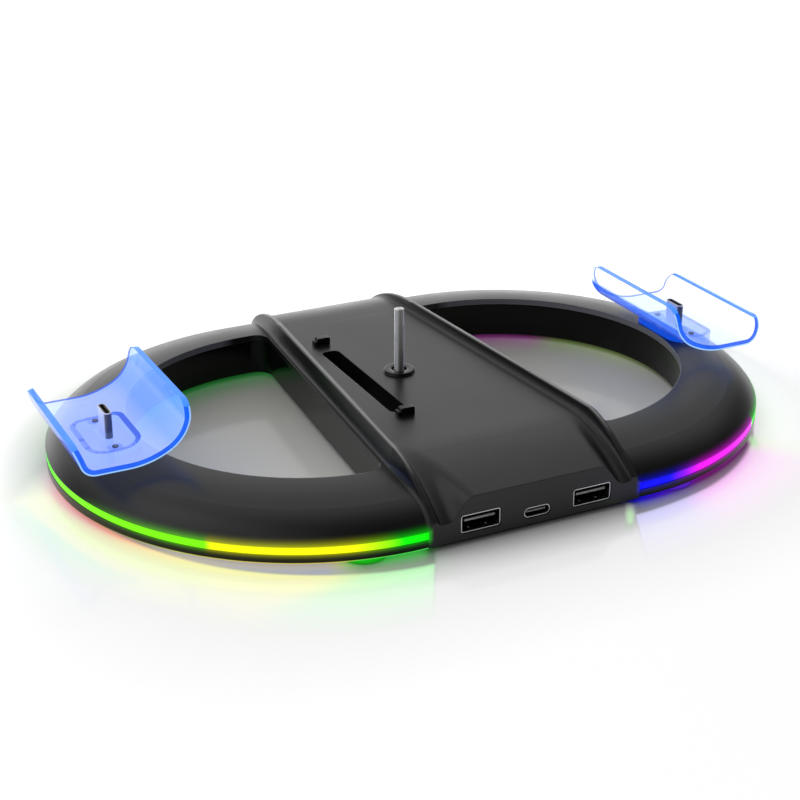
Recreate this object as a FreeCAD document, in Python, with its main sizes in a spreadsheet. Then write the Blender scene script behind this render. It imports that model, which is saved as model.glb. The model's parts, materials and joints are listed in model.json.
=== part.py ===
import FreeCAD, Part
import math
import os
import re
import Sketcher
from FreeCAD import Vector

# Vertical console stand with a charging cradle on each side.
# Frame: X runs from cradle to cradle, the sockets face -Y, Z is up and the origin is on the table.
# Heights are measured from the bottom of the case, and the feet lift every piece by foot_height.

# Driving sizes, in millimetres and degrees
SIZES = {
    # Outline of the case: a stadium with a ring round two D-shaped openings
    "straight_length": 75.0,
    "end_radius": 85.0,
    "ring_width": 26.0,
    "wall": 2.2,
    "front_wall": 2.0,
    "shell_fit": 0.15,
    # Crown of the ring, two arcs from the opening edge out to the skirt
    "opening_edge_height": 14.5,
    "skirt_height": 5.25,
    "crown_radius": 58.0,
    "crown_run": 16.0,
    # Deck across the middle, its splayed ribs and the tongue rolled down at the front
    "deck_height": 17.7,
    "rib_rise": 2.8,
    "rib_front_height": 7.7,
    "rib_spread": 29.8,
    "rib_splay": 0.0746,
    "rib_fall_length": 27.0,
    "rib_half_width": 0.9,
    "rib_brow": 0.2,
    "rib_foot_width": 2.4,
    "rib_stand": 0.6,
    "edge_spread": 33.2,
    "edge_splay": 0.076,
    "opening_corner": 5.0,
    "roll_length": 33.0,
    "back_roll_length": 35.0,
    "tongue_drop": 3.85,
    "tongue_half_width": 21.0,
    "valley_front_depth": 1.2,
    # Room left inside under the deck, the tongue and above the sockets
    "deck_room_half_width": 23.0,
    "deck_room_past_roll": 4.0,
    "tongue_room_side": 1.0,
    "socket_room_side": 0.6,
    "socket_room_roof": 0.5,
    # Slot and hook tabs on the deck
    "slot_x": -18.15,
    "slot_y": -1.75,
    "slot_width": 6.24,
    "slot_length": 55.5,
    "slot_corner": 2.0,
    "slot_depth": 9.0,
    "slot_wall": 1.6,
    "tab_x": -17.75,
    "tab_width": 5.7,
    "tab_depth": 2.4,
    "tab_height": 2.5,
    "tab_shoulder": 0.9,
    "tab_step": 1.0,
    "tab_corner": 0.7,
    "tab_front_y": -33.2,
    "tab_back_y": 32.3,
    # Bottom cover
    "floor": 1.2,
    "rim_width": 3.0,
    "opening_recess": 0.8,
    "opening_wall": 1.8,
    "strip_wall": 1.2,
    "strip_wall_height": 5.4,
    "opening_wall_gap": 0.45,
    # Light guides and the strips of lamps behind them
    "guide_height": 2.5,
    "guide_depth": 2.6,
    "strip_end_x": 36.3,
    "strip_gap": 1.6,
    "strip_thickness": 0.4,
    "strip_width": 2.6,
    "lamp_length": 3.5,
    "lamp_depth": 0.8,
    "lamp_height": 1.8,
    "lamp_count": 11,
    # Sockets and their board
    "board_thickness": 1.0,
    "board_half_width": 28.0,
    "board_depth": 34.5,
    "board_gap": 0.3,
    "peg_x": 24.0,
    "peg_set_back": 31.0,
    "peg_diameter": 2.4,
    "peg_head": 3.8,
    "peg_head_height": 0.6,
    "peg_fit": 0.1,
    "socket_x": 19.07,
    "socket_width": 13.1,
    "socket_height": 5.7,
    "socket_depth": 14.0,
    "socket_corner": 0.8,
    "socket_sheet": 0.3,
    "socket_set_back": 0.3,
    "socket_fit": 0.15,
    "tongue_width": 10.2,
    "tongue_thickness": 1.5,
    "tongue_rise": 0.8,
    "tongue_set_back": 1.0,
    "block_depth": 3.0,
    "inlet_width": 8.94,
    "inlet_height": 3.26,
    "inlet_depth": 7.5,
    "inlet_tongue_width": 6.7,
    "inlet_tongue_thickness": 0.8,
    # Console screw and its collar
    "screw_x": -4.1,
    "screw_diameter": 3.2,
    "screw_neck": 3.6,
    "screw_top": 40.0,
    "screw_tip": 0.15,
    "screw_head": 9.0,
    "screw_head_height": 2.7,
    "screw_play": 0.3,
    "screw_access": 6.5,
    "coin_slot": 1.4,
    "coin_slot_depth": 1.0,
    "guide_tube": 8.0,
    "collar_diameter": 10.6,
    "collar_hole": 5.1,
    "collar_height": 1.0,
    "collar_lip": 0.35,
    "collar_step": 0.2,
    # Cradle: a trough along Y on a hollow pedestal
    "cradle_y": -0.6,
    "cradle_length": 55.0,
    "cradle_wall": 2.0,
    "cradle_corner": 5.5,
    "cradle_floor_inset": 10.6,
    "cradle_stand": 1.17,
    "cradle_floor_width": 9.9,
    "cradle_inner_straight": 3.7,
    "cradle_inner_radius": 13.5,
    "cradle_inner_angle": 53.8,
    "cradle_sweep_radius": 27.0,
    "cradle_sweep_angle": 30.0,
    "cradle_outer_radius": 5.0,
    "cradle_outer_angle": 71.5,
    "cradle_outer_straight": 5.9,
    "pedestal_inset": 9.5,
    "pedestal_width": 17.6,
    "pedestal_length": 28.0,
    "pedestal_corner": 6.0,
    "pedestal_wall": 1.8,
    # Charging plug
    "plug_inset": 9.15,
    "plug_width": 2.56,
    "plug_length": 8.34,
    "plug_stand": 6.5,
    "plug_sheet": 0.3,
    "plug_mouth_width": 0.9,
    "plug_mouth_length": 6.9,
    "plug_mouth_depth": 5.5,
    "plug_root": 1.0,
    "plug_fit": 0.1,
    "holder_width": 5.6,
    "holder_length": 11.4,
    "holder_corner": 1.5,
    "holder_fit": 0.15,
    "charge_board_drop": 7.0,
    "charge_board_inset": 10.0,
    "charge_board_width": 14.0,
    "charge_board_length": 16.0,
    # Lead from the small board to the main board
    "lead_width": 3.0,
    "lead_thickness": 0.9,
    "lead_inset": 15.5,
    "lead_bend": 3.0,
    # Feet
    "foot_height": 2.0,
    "foot_diameter": 15.0,
    "foot_edge": 0.5,
    "foot_spread": 15.5,
    "foot_inset": 9.5,
    # Screws that close the case
    "case_screw_diameter": 2.6,
    "case_screw_length": 8.0,
    "case_screw_head": 5.0,
    "case_screw_head_height": 1.8,
    "case_screw_fit": 0.1,
    "case_screw_head_fit": 0.3,
    "well_diameter": 8.4,
    "well_height": 5.0,
    "well_head_depth": 3.0,
    "boss_diameter": 6.4,
    "boss_ring_inset": 8.0,
    "boss_ring_angle": 55.0,
    # Screws that hold the cradles
    "cradle_screw_diameter": 2.0,
    "cradle_screw_length": 5.8,
    "cradle_screw_head": 3.8,
    "cradle_screw_head_height": 1.6,
    "cradle_screw_spacing": 21.0,
    "cradle_boss_diameter": 5.0,
    "pad_drop": 4.2,
}

# Places and heights that follow from those sizes
PLACES = {
    "opening_edge_x": "straight_length / 2 + end_radius - ring_width",
    "roll_start": "end_radius - roll_length",
    "back_roll_start": "end_radius - back_roll_length",
    "rib_bend": "end_radius - rib_fall_length",
    "rib_height": "deck_height + rib_rise",
    "tongue_front_height": "deck_height - tongue_drop",
    "peg_y": "peg_set_back - end_radius",
    "cradle_floor_x": "opening_edge_x + cradle_floor_inset",
    "cradle_floor_height": "opening_edge_height + cradle_stand",
    "pedestal_x": "opening_edge_x + pedestal_inset",
    "plug_x": "opening_edge_x + plug_inset",
    "charge_board_x": "opening_edge_x + charge_board_inset",
    "charge_board_height": "opening_edge_height - charge_board_drop",
    "lead_run_radius": "end_radius - ring_width + lead_inset",
    "foot_x": "straight_length / 2 + foot_spread",
    "foot_y": "end_radius - foot_inset",
    "pad_height": "opening_edge_height - pad_drop",
}

doc = FreeCAD.newDocument("console_stand")
sheet = doc.addObject("Spreadsheet::Sheet", "Sizes")
entries = [(alias, str(value)) for alias, value in SIZES.items()]
entries += [(alias, "=" + formula) for alias, formula in PLACES.items()]
for row, (alias, content) in enumerate(entries, start=1):
    sheet.set("A%d" % row, alias)
    sheet.set("B%d" % row, content)
    sheet.setAlias("B%d" % row, alias)
doc.recompute()

pieces = []

# Share of a side that a full round takes, kept just short of half so that a flat remains
FULL_ROUND = 0.499
# Largest difference between two points or lines that count as the same
SAME = 1e-4
# How far a cutting block runs past what it cuts
PAST = 1.0
# Sections through the rolled front of the deck, the falling ribs and the rolled back
ROLL_SECTIONS = 3
FALL_SECTIONS = 5
BACK_SECTIONS = 6
# Power of the distance by which each of them turns down
ROLL_POWER = 2
FALL_POWER = 1.6
BACK_POWER = 3


def size(alias):
    """Value of one cell of the sheet."""
    return float(sheet.get(alias))


def cells(text):
    """Expression in which each size is a reference to its cell."""
    return re.sub(r"[a-z_]+", lambda word: "Sizes." + word.group(0), text)


# Building blocks

def primitive(kind, name, place, **sizes):
    """Part primitive whose sizes and place are bound to the sheet."""
    block = doc.addObject("Part::" + kind, name)
    for setting, text in sizes.items():
        block.setExpression(setting, cells(text))
    for axis, text in zip("xyz", place):
        block.setExpression(".Placement.Base." + axis, cells(text))
    return block


def box(name, middle, low, length, width, height):
    """Box centred on middle (x, y), with its underside at low."""
    corner = ("%s - (%s) / 2" % (middle[0], length), "%s - (%s) / 2" % (middle[1], width), low)
    return primitive("Box", name, corner, Length=length, Width=width, Height=height)


def cylinder(name, middle, low, diameter, height):
    """Upright cylinder on its axis (x, y)."""
    return primitive("Cylinder", name, (middle[0], middle[1], low), Radius="(%s) / 2" % diameter, Height=height)


def rounded(block, axis, radius):
    """Box with its four edges along one axis rounded."""
    doc.recompute()
    round_edges = []
    for number, edge in enumerate(block.Shape.Edges, start=1):
        run = edge.Vertexes[1].Point - edge.Vertexes[0].Point
        if abs(run.normalize().dot(axis)) > 1 - SAME:
            round_edges.append((number, radius, radius))
    fillet = doc.addObject("Part::Fillet", block.Name + "_rounded")
    fillet.Base = block
    fillet.Edges = round_edges
    return fillet


def moulded(name, shape):
    """Free-form shape that no primitive or pad gives."""
    form = doc.addObject("Part::Feature", name)
    form.Shape = shape
    return form


def fuse(name, parts):
    joined = doc.addObject("Part::MultiFuse", name)
    joined.Shapes = parts
    return joined


def cut(name, base, tools):
    result = doc.addObject("Part::Cut", name)
    result.Base = base
    result.Tool = tools[0] if len(tools) == 1 else fuse(name + "_tools", tools)
    return result


def piece(node, result):
    """Name a finished sub-part and stand it on the feet."""
    result.Label = node
    result.setExpression(".Placement.Base.z", cells("foot_height"))
    pieces.append(result)
    return result


def mirrored(node, right):
    """Left-hand twin of a sub-part on the right."""
    twin = doc.addObject("Part::Mirroring", node)
    twin.Source = right
    twin.Normal = Vector(1, 0, 0)
    twin.Label = node
    pieces.append(twin)


def turned_body(name, outline):
    """Turned piece: a half outline of (radius, height) cells revolved about the upright axis."""
    body = doc.addObject("PartDesign::Body", name)
    sketch = body.newObject("Sketcher::SketchObject", name + "_outline")
    plane = [item for item in body.Origin.OriginFeatures if item.Role == "XZ_Plane"][0]
    sketch.AttachmentSupport = (plane, [""])
    sketch.MapMode = "FlatFace"
    count = len(outline)
    start = [Vector(math.cos(2 * math.pi * i / count), math.sin(2 * math.pi * i / count), 0) for i in range(count)]
    for i in range(count):
        sketch.addGeometry(Part.LineSegment(start[i], start[(i + 1) % count]), False)
    for i in range(count):
        sketch.addConstraint(Sketcher.Constraint("Coincident", i, 2, (i + 1) % count, 1))
    for i, corner in enumerate(outline):
        for direction, text in zip(("DistanceX", "DistanceY"), corner):
            index = sketch.addConstraint(Sketcher.Constraint(direction, -1, 1, i, 1, 1.0))
            sketch.setExpression("Constraints[%d]" % index, cells(text))
    turn = body.newObject("PartDesign::Revolution", name + "_turn")
    turn.Profile = sketch
    turn.ReferenceAxis = (sketch, ["V_Axis"])
    turn.Angle = 360.0
    body.Tip = turn
    doc.recompute()
    return body


# Plan shapes of the case

def stadium_block(radius, low, high):
    """Two half rounds joined by straight sides."""
    half = size("straight_length") / 2
    front_left = Vector(-half, -radius, low)
    front_right = Vector(half, -radius, low)
    back_right = Vector(half, radius, low)
    back_left = Vector(-half, radius, low)
    outline = Part.Wire([
        Part.makeLine(front_left, front_right),
        Part.Arc(front_right, Vector(half + radius, 0, low), back_right).toShape(),
        Part.makeLine(back_right, back_left),
        Part.Arc(back_left, Vector(-half - radius, 0, low), front_left).toShape(),
    ])
    return Part.Face(outline).extrude(Vector(0, 0, high - low))


def stadium_ring(inner, outer, low, high):
    return stadium_block(outer, low, high).cut(stadium_block(inner, low - PAST, high + PAST))


def beyond(x, low, high):
    """Block that holds everything to the right of x."""
    reach = 2 * size("end_radius")
    return Part.makeBox(reach, 2 * reach, high - low, Vector(x, -reach, low))


def rib_line(y):
    """Distance of a rib from the middle; straight ahead once the rib falls at the front."""
    return size("rib_spread") - size("rib_splay") * max(y, -size("rib_bend"))


def edge_line(y):
    return size("edge_spread") - size("edge_splay") * y


def opening_block(grow, low, high):
    """D-shaped opening on the right, larger all round by grow, with rounded corners at the deck."""
    reach = size("end_radius")
    inside = stadium_block(reach - size("ring_width") + grow, low, high)
    front = Vector(edge_line(-reach) - grow, -reach, low)
    back = Vector(edge_line(reach) - grow, reach, low)
    far = 3 * reach
    side = Part.makePolygon([front, Vector(far, -reach, low), Vector(far, reach, low), back, front])
    block = inside.common(Part.Face(side).extrude(Vector(0, 0, high - low)))
    corners = []
    for edge in block.Edges:
        first, last = [vertex.Point for vertex in edge.Vertexes] if len(edge.Vertexes) == 2 else (front, front)
        upright = abs(first.x - last.x) + abs(first.y - last.y) < SAME and abs(first.z - last.z) > SAME
        if upright and abs(first.x - (edge_line(first.y) - grow)) < SAME:
            corners.append(edge)
    return block.makeFillet(size("opening_corner") + grow, corners)


# Crown of the ring

def crown_arcs():
    """Centres, radii and end angles of the two arcs, as distances from the opening edge and heights."""
    big = size("crown_radius")
    run = size("crown_run")
    turn = math.asin(run / big)
    meet = (run, size("opening_edge_height") - big * (1 - math.cos(turn)))
    reach = (size("ring_width") - meet[0], size("skirt_height") - meet[1])
    inward = (-math.sin(turn), -math.cos(turn))
    small = (reach[0] ** 2 + reach[1] ** 2) / (2 * (reach[0] * inward[0] + reach[1] * inward[1]))
    centre = (meet[0] + small * inward[0], meet[1] + small * inward[1])
    last = math.atan2(size("ring_width") - centre[0], size("skirt_height") - centre[1])
    return (0.0, size("opening_edge_height") - big), big, turn, centre, small, last


def crown_height(distance):
    """Height of the crown at a distance outwards from the opening edge."""
    first, big, turn, centre, small, last = crown_arcs()
    if distance <= 0:
        return size("opening_edge_height")
    if distance <= size("crown_run"):
        return first[1] + math.sqrt(big ** 2 - distance ** 2)
    return centre[1] + math.sqrt(small ** 2 - (min(distance, size("ring_width")) - centre[0]) ** 2)


def mid_crown(inset):
    """Height halfway through the wall of the crown, at a distance given by a size."""
    return crown_height(size(inset)) - size("wall") / 2


def crown_plate(inset, low):
    """The whole case under the crown, with the openings still filled; straight inside where it is inset."""
    half = size("straight_length") / 2
    edge = size("end_radius") - size("ring_width")
    first, big, turn, centre, small, last = crown_arcs()

    def spot(middle, radius, angle):
        distance = middle[0] + (radius - inset) * math.sin(angle)
        height = middle[1] + (radius - inset) * math.cos(angle)
        return Vector(half, -(edge + distance), height)

    meet = spot(first, big, turn)
    skirt = spot(centre, small, last)
    brink = spot(first, big, 0.0)
    if inset:
        slope = [Part.makeLine(skirt, meet), Part.makeLine(meet, brink)]
    else:
        slope = [
            Part.Arc(skirt, spot(centre, small, (turn + last) / 2), meet).toShape(),
            Part.Arc(meet, spot(first, big, turn / 2), brink).toShape(),
        ]
    section = Part.Wire([
        Part.makeLine(Vector(half, 0, low), Vector(half, skirt.y, low)),
        Part.makeLine(Vector(half, skirt.y, low), skirt),
        slope[0],
        slope[1],
        Part.makeLine(brink, Vector(half, 0, brink.z)),
        Part.makeLine(Vector(half, 0, brink.z), Vector(half, 0, low)),
    ])
    face = Part.Face(section)
    right_end = face.revolve(Vector(half, 0, 0), Vector(0, 0, 1), 180)
    front = face.extrude(Vector(-2 * half, 0, 0))
    left_end = right_end.mirror(Vector(0, 0, 0), Vector(1, 0, 0))
    back = front.mirror(Vector(0, 0, 0), Vector(0, 1, 0))
    return right_end.multiFuse([front, back, left_end]).removeSplitter()


# Deck with its ribs and tongue

def deck_heights(y):
    """Heights of the rib, of the valley inside it and of the middle of the deck at one place along its depth."""
    level = size("deck_height")
    if y > 0:
        share = max(0.0, y - size("back_roll_start")) / size("back_roll_length")
        crown = crown_height(y - (size("end_radius") - size("ring_width")))
        middle = crown + (level - size("opening_edge_height")) * (1 - share ** BACK_POWER)
        rib = middle + size("rib_rise") + (size("rib_stand") - size("rib_rise")) * share
        return rib, middle, middle
    roll = max(0.0, -y - size("roll_start")) / size("roll_length")
    fall = max(0.0, -y - size("rib_bend")) / size("rib_fall_length")
    valley_front = size("rib_front_height") - size("valley_front_depth")
    rib = size("rib_height") + (size("rib_front_height") - size("rib_height")) * fall ** FALL_POWER
    valley = level + (valley_front - level) * roll ** ROLL_POWER
    middle = level - size("tongue_drop") * roll ** ROLL_POWER
    return rib, valley, middle


def deck_lines(y):
    """Lines across the top of the deck at one place along its depth, from the right edge to the left."""
    rib_top, valley, tongue = deck_heights(y)
    roll = max(0.0, -y - size("roll_start")) / size("roll_length")
    rib_x = rib_line(y)
    half = size("rib_half_width")
    brow = size("rib_brow")
    valley_x = rib_x - half - size("rib_foot_width")
    flat_x = valley_x - 2 * half
    tongue_x = flat_x + (size("tongue_half_width") - flat_x) * math.sqrt(roll)
    slope_x = (tongue_x + valley_x) / 2
    foot = crown_height(abs(y) - (size("end_radius") - size("ring_width"))) - size("rib_stand")
    outer_brow = (rib_x + half, rib_top - brow)
    inner_brow = (rib_x - half, rib_top - brow)
    right = [
        [(edge_line(y), foot), (rib_x + half + brow, foot + brow), outer_brow],
        [outer_brow, (rib_x, rib_top + brow), inner_brow],
        [inner_brow, (rib_x - half - brow, valley), (valley_x, valley)],
        [(valley_x, valley), (slope_x, valley), (slope_x, tongue), (tongue_x, tongue)],
    ]
    left = [[(-x, z) for x, z in poles[::-1]] for poles in right[::-1]]
    lines = right + [[(tongue_x, tongue), (-tongue_x, tongue)]] + left
    return [[Vector(x, y, z) for x, z in poles] for poles in lines]


def deck_section(y):
    """Closed section of the deck at one place along its depth."""
    lines = deck_lines(y)
    edges = []
    for poles in lines:
        line = Part.BezierCurve()
        line.setPoles(poles)
        edges.append(line.toShape())
    right_end = lines[0][0]
    left_end = lines[-1][-1]
    right_foot = Vector(right_end.x, y, 0)
    left_foot = Vector(left_end.x, y, 0)
    edges.append(Part.makeLine(left_end, left_foot))
    edges.append(Part.makeLine(left_foot, right_foot))
    edges.append(Part.makeLine(right_foot, right_end))
    return Part.Wire(edges)


def deck_loft(first, last, count):
    """Smooth length of the deck between two places along its depth, through a number of sections."""
    places = [first + (last - first) * i / (count - 1) for i in range(count)]
    return Part.makeLoft([deck_section(y) for y in places], True)


def deck_body():
    """Deck from front to back: a straight middle, a rolled tongue past the bend of the ribs, and a rolled back."""
    reach = size("end_radius")
    front = -size("roll_start")
    back = size("back_roll_start")
    bend = -size("rib_bend")
    middle = Part.makeLoft([deck_section(y) for y in (front, back)], True, True)
    lofts = [deck_loft(front, bend, ROLL_SECTIONS), deck_loft(bend, -reach, FALL_SECTIONS)]
    lofts.append(deck_loft(back, reach, BACK_SECTIONS))
    return middle.multiFuse(lofts)


def between_ribs(low, high):
    """Block of everything between the two rib lines."""
    reach = size("end_radius") + PAST
    plan = [(rib_line(y), y) for y in (-reach, -size("rib_bend"), reach)]
    corners = [Vector(x, y, low) for x, y in plan] + [Vector(-x, y, low) for x, y in plan[::-1]]
    outline = Part.makePolygon(corners + corners[:1])
    return Part.Face(outline).extrude(Vector(0, 0, high - low))


def case_form():
    """Outer form of the case, with the openings still filled."""
    ring = crown_plate(0.0, 0.0).cut(between_ribs(-PAST, size("rib_height") + PAST))
    return ring.multiFuse([deck_body()])


def case_rooms():
    """Hollow inside of the case: the ring one wall further in, and plain rooms under the deck."""
    end_wall = "end_radius - front_wall"
    front_half = "(%s) / 2" % end_wall
    tongue_roof = "tongue_front_height - wall"
    return [
        moulded("ring_room", crown_plate(size("wall"), -PAST)),
        box("deck_room", ("0", "0"), "0", "2 * deck_room_half_width", "2 * (back_roll_start + deck_room_past_roll)",
            "deck_height - wall"),
        box("tongue_room", ("0", "0 - " + front_half), "0", "2 * (tongue_half_width - tongue_room_side)", end_wall,
            tongue_roof),
        box("socket_room", ("0", "socket_depth / 2 - (%s)" % end_wall), "0",
            "2 * (socket_x + socket_room_side) + socket_width", "socket_depth",
            BOARD_TOP + " + socket_height + socket_room_roof"),
    ]


# Places that several pieces share
BOARD_TOP = "floor + board_thickness"
CRADLE_FLOOR_TOP = "cradle_floor_height + cradle_wall"
CHARGE_BOARD_TOP = "charge_board_height + board_thickness"
BOARD_MIDDLE_Y = "front_wall + board_gap + board_depth / 2 - end_radius"
HEAD_LOW = "floor + screw_play"
TUBE_LOW = "floor + screw_head_height + 2 * screw_play"

boss_radius = size("end_radius") - size("ring_width") + size("boss_ring_inset")
boss_angle = math.radians(size("boss_ring_angle"))
boss_x = size("straight_length") / 2 + boss_radius * math.cos(boss_angle)
boss_y = boss_radius * math.sin(boss_angle)
case_screw_spots = [(sx * boss_x, sy * boss_y) for sx in (-1, 1) for sy in (-1, 1)]
cradle_screw_ys = [size("cradle_y") + side * size("cradle_screw_spacing") / 2 for side in (-1, 1)]
cradle_screw_spots = [(side * size("pedestal_x"), y) for side in (-1, 1) for y in cradle_screw_ys]


def columns(spots, diameter, low, high):
    """Upright rods at several places, as one shape."""
    rods = [Part.makeCylinder(diameter / 2, high - low, Vector(x, y, low)) for x, y in spots]
    return Part.makeCompound(rods)


def both_sides(shape):
    return Part.makeCompound([shape, shape.mirror(Vector(0, 0, 0), Vector(1, 0, 0))])


# Top shell

def build_top_shell():
    outer = moulded("case_outer", case_form())
    roof = size("rib_height") + PAST
    openings = moulded("shell_openings", both_sides(opening_block(0.0, -PAST, roof)))
    under_skirt = moulded("under_skirt", both_sides(beyond(size("strip_end_x"), -PAST, size("skirt_height"))))
    skin = outer
    for block in case_rooms() + [openings, under_skirt]:
        skin = cut("shell_less_" + block.Name, skin, [block])

    slot_well = rounded(
        box("slot_well", ("slot_x", "slot_y"), "deck_height - slot_depth - slot_wall",
            "slot_width + 2 * slot_wall", "slot_length + 2 * slot_wall", "slot_depth + slot_wall - wall / 2"),
        Vector(0, 0, 1), size("slot_corner") + size("slot_wall"))
    guide_tube = cylinder("guide_tube", ("screw_x", "0"), TUBE_LOW, "guide_tube",
                          "deck_height - wall / 2 - (%s)" % TUBE_LOW)
    bosses = moulded("case_bosses", columns(
        case_screw_spots, size("boss_diameter"), size("well_height"), mid_crown("boss_ring_inset")))
    pads = moulded("cradle_pads", columns(
        cradle_screw_spots, size("cradle_boss_diameter"), size("pad_height"), mid_crown("pedestal_inset")))
    tabs = []
    for name, y in (("front", "tab_front_y"), ("back", "tab_back_y")):
        middle_y = "%s + tab_depth / 2" % y
        tabs.append(rounded(
            box("tab_" + name, ("tab_x + tab_shoulder / 2", middle_y), "deck_height - wall / 2",
                "tab_width - tab_shoulder", "tab_depth", "tab_height + wall / 2"),
            Vector(0, 1, 0), size("tab_corner")))
        tabs.append(box("tab_shoulder_" + name, ("tab_x", middle_y), "deck_height - wall / 2",
                        "tab_width", "tab_depth", "tab_height - tab_step + wall / 2"))
    body = fuse("shell_body", [skin, slot_well, guide_tube, bosses, pads] + tabs)

    slot = rounded(
        box("slot", ("slot_x", "slot_y"), "deck_height - slot_depth", "slot_width", "slot_length", "2 * slot_depth"),
        Vector(0, 0, 1), size("slot_corner"))
    screw_hole = cylinder("screw_hole", ("screw_x", "0"), "0", "screw_neck + 2 * screw_play", "2 * deck_height")
    tap_high = size("well_head_depth") + size("case_screw_length") + 2 * size("case_screw_fit")
    taps = moulded("case_taps", columns(
        case_screw_spots, size("case_screw_diameter") + size("case_screw_fit"), 0.0, tap_high))
    cradle_holes = moulded("cradle_holes", columns(
        cradle_screw_spots, size("cradle_screw_diameter") + size("case_screw_fit"), 0.0, roof))
    holder_hole = rounded(
        box("holder_hole", ("plug_x", "cradle_y"), "0", "holder_width + 2 * holder_fit",
            "holder_length + 2 * holder_fit", "2 * deck_height"),
        Vector(0, 0, 1), size("holder_corner") + size("holder_fit"))
    holder_hole_left = doc.addObject("Part::Mirroring", "holder_hole_left")
    holder_hole_left.Source = holder_hole
    holder_hole_left.Normal = Vector(1, 0, 0)
    mouths = []
    for name, x in (("left", "-socket_x"), ("right", "socket_x")):
        mouths.append(rounded(
            box("mouth_" + name, (x, "-end_radius"), BOARD_TOP + " - socket_fit", "socket_width + 2 * socket_fit",
                "4 * front_wall", "socket_height + 2 * socket_fit"),
            Vector(0, 1, 0), size("socket_corner") + size("socket_fit")))
    mouths.append(rounded(
        box("mouth_inlet", ("0", "-end_radius"), BOARD_TOP + " - socket_fit", "inlet_width + 2 * socket_fit",
            "4 * front_wall", "inlet_height + 2 * socket_fit"),
        Vector(0, 1, 0), FULL_ROUND * (size("inlet_height") + 2 * size("socket_fit"))))
    openings_made = [slot, screw_hole, taps, cradle_holes, holder_hole, holder_hole_left] + mouths
    piece("top_shell", cut("top_shell", body, openings_made))
    return outer


# Bottom cover

def build_bottom_cover():
    outer_radius = size("end_radius")
    guide_low = size("skirt_height") - size("guide_height")
    floor = size("floor")
    strip_x = size("strip_end_x") + size("shell_fit")
    recess = size("opening_recess")
    wall_top = size("opening_edge_height") - size("wall") - size("opening_wall_gap")
    strip_outer = outer_radius - size("rim_width") - size("strip_gap")

    base = stadium_block(outer_radius, 0.0, floor)
    clear_y = outer_radius - size("front_wall") - size("shell_fit")
    for side in (-1, 1):
        low_y = clear_y if side > 0 else -clear_y - outer_radius
        base = base.cut(Part.makeBox(2 * strip_x, outer_radius, 3 * floor, Vector(-strip_x, low_y, -floor)))
    sides = beyond(strip_x, -PAST, size("opening_edge_height"))
    rim = both_sides(stadium_ring(outer_radius - size("rim_width"), outer_radius, 0.0, guide_low).common(sides))
    strip_wall = both_sides(stadium_ring(
        strip_outer - size("strip_wall"), strip_outer, 0.0, size("strip_wall_height")).common(sides))
    collars = both_sides(opening_block(recess + size("opening_wall"), 0.0, wall_top))
    tray = fuse("tray", [moulded("tray_floor", base), moulded("tray_rim", rim),
                         moulded("tray_strip_wall", strip_wall), moulded("tray_collars", collars),
                         moulded("tray_wells", columns(case_screw_spots, size("well_diameter"), 0.0,
                                                       size("well_height")))])
    openings = moulded("tray_openings", both_sides(opening_block(recess, -PAST, wall_top + PAST)))
    heads = moulded("tray_head_wells", columns(
        case_screw_spots, size("case_screw_head") + 2 * size("case_screw_head_fit"), -PAST, size("well_head_depth")))
    shanks = moulded("tray_shank_holes", columns(
        case_screw_spots, size("case_screw_diameter") + 2 * size("case_screw_fit"), -PAST, size("well_height") + PAST))
    access = cylinder("tray_access", ("screw_x", "0"), "-floor", "screw_access", "3 * floor")
    shell = cut("tray_shell", tray, [openings, heads, shanks, access])
    pegs = []
    for name, x in (("left", "-peg_x"), ("right", "peg_x")):
        pegs.append(cylinder("peg_" + name, (x, "peg_y"), "floor / 2", "peg_diameter", BOARD_TOP + " - floor / 2"))
        pegs.append(cylinder("peg_head_" + name, (x, "peg_y"), BOARD_TOP, "peg_head", "peg_head_height"))
    piece("bottom_cover", fuse("bottom_cover", [shell] + pegs))


# Light guides and lamps

def build_lights():
    outer_radius = size("end_radius")
    guide_low = size("skirt_height") - size("guide_height")
    sides = beyond(size("strip_end_x"), 0.0, 2 * size("skirt_height"))
    guide = stadium_ring(outer_radius - size("guide_depth"), outer_radius, guide_low, size("skirt_height"))
    right_guide = piece("light_guide_right", moulded("light_guide_right", guide.common(sides)))
    mirrored("light_guide_left", right_guide)

    inner = outer_radius - size("rim_width") - size("strip_gap")
    middle_height = guide_low + size("guide_height") / 2
    strip = stadium_ring(inner, inner + size("strip_thickness"),
                         middle_height - size("strip_width") / 2, middle_height + size("strip_width") / 2)
    strip_sides = beyond(size("strip_end_x") + size("shell_fit"), 0.0, 2 * size("skirt_height"))
    half = size("straight_length") / 2
    lamps = []
    count = int(round(size("lamp_count")))
    for i in range(count):
        lamp = Part.makeBox(size("lamp_depth") + size("strip_thickness") / 2, size("lamp_length"), size("lamp_height"),
                            Vector(inner + size("strip_thickness") / 2, -size("lamp_length") / 2,
                                   middle_height - size("lamp_height") / 2))
        lamp.rotate(Vector(0, 0, 0), Vector(0, 0, 1), 180.0 * (i + 0.5) / count - 90.0)
        lamp.translate(Vector(half, 0, 0))
        lamps.append(lamp)
    lit_strip = strip.common(strip_sides).multiFuse(lamps)
    right_strip = piece("led_strip_right", moulded("led_strip_right", lit_strip))
    mirrored("led_strip_left", right_strip)


# Sockets and board

def build_board():
    board = box("board_blank", ("0", BOARD_MIDDLE_Y), "floor", "2 * board_half_width", "board_depth", "board_thickness")
    holes = []
    for name, x in (("left", "-peg_x"), ("right", "peg_x")):
        holes.append(cylinder("peg_hole_" + name, (x, "peg_y"), "0", "peg_diameter + 2 * peg_fit", "4 * floor"))
    piece("main_board", cut("main_board", board, holes))


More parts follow.
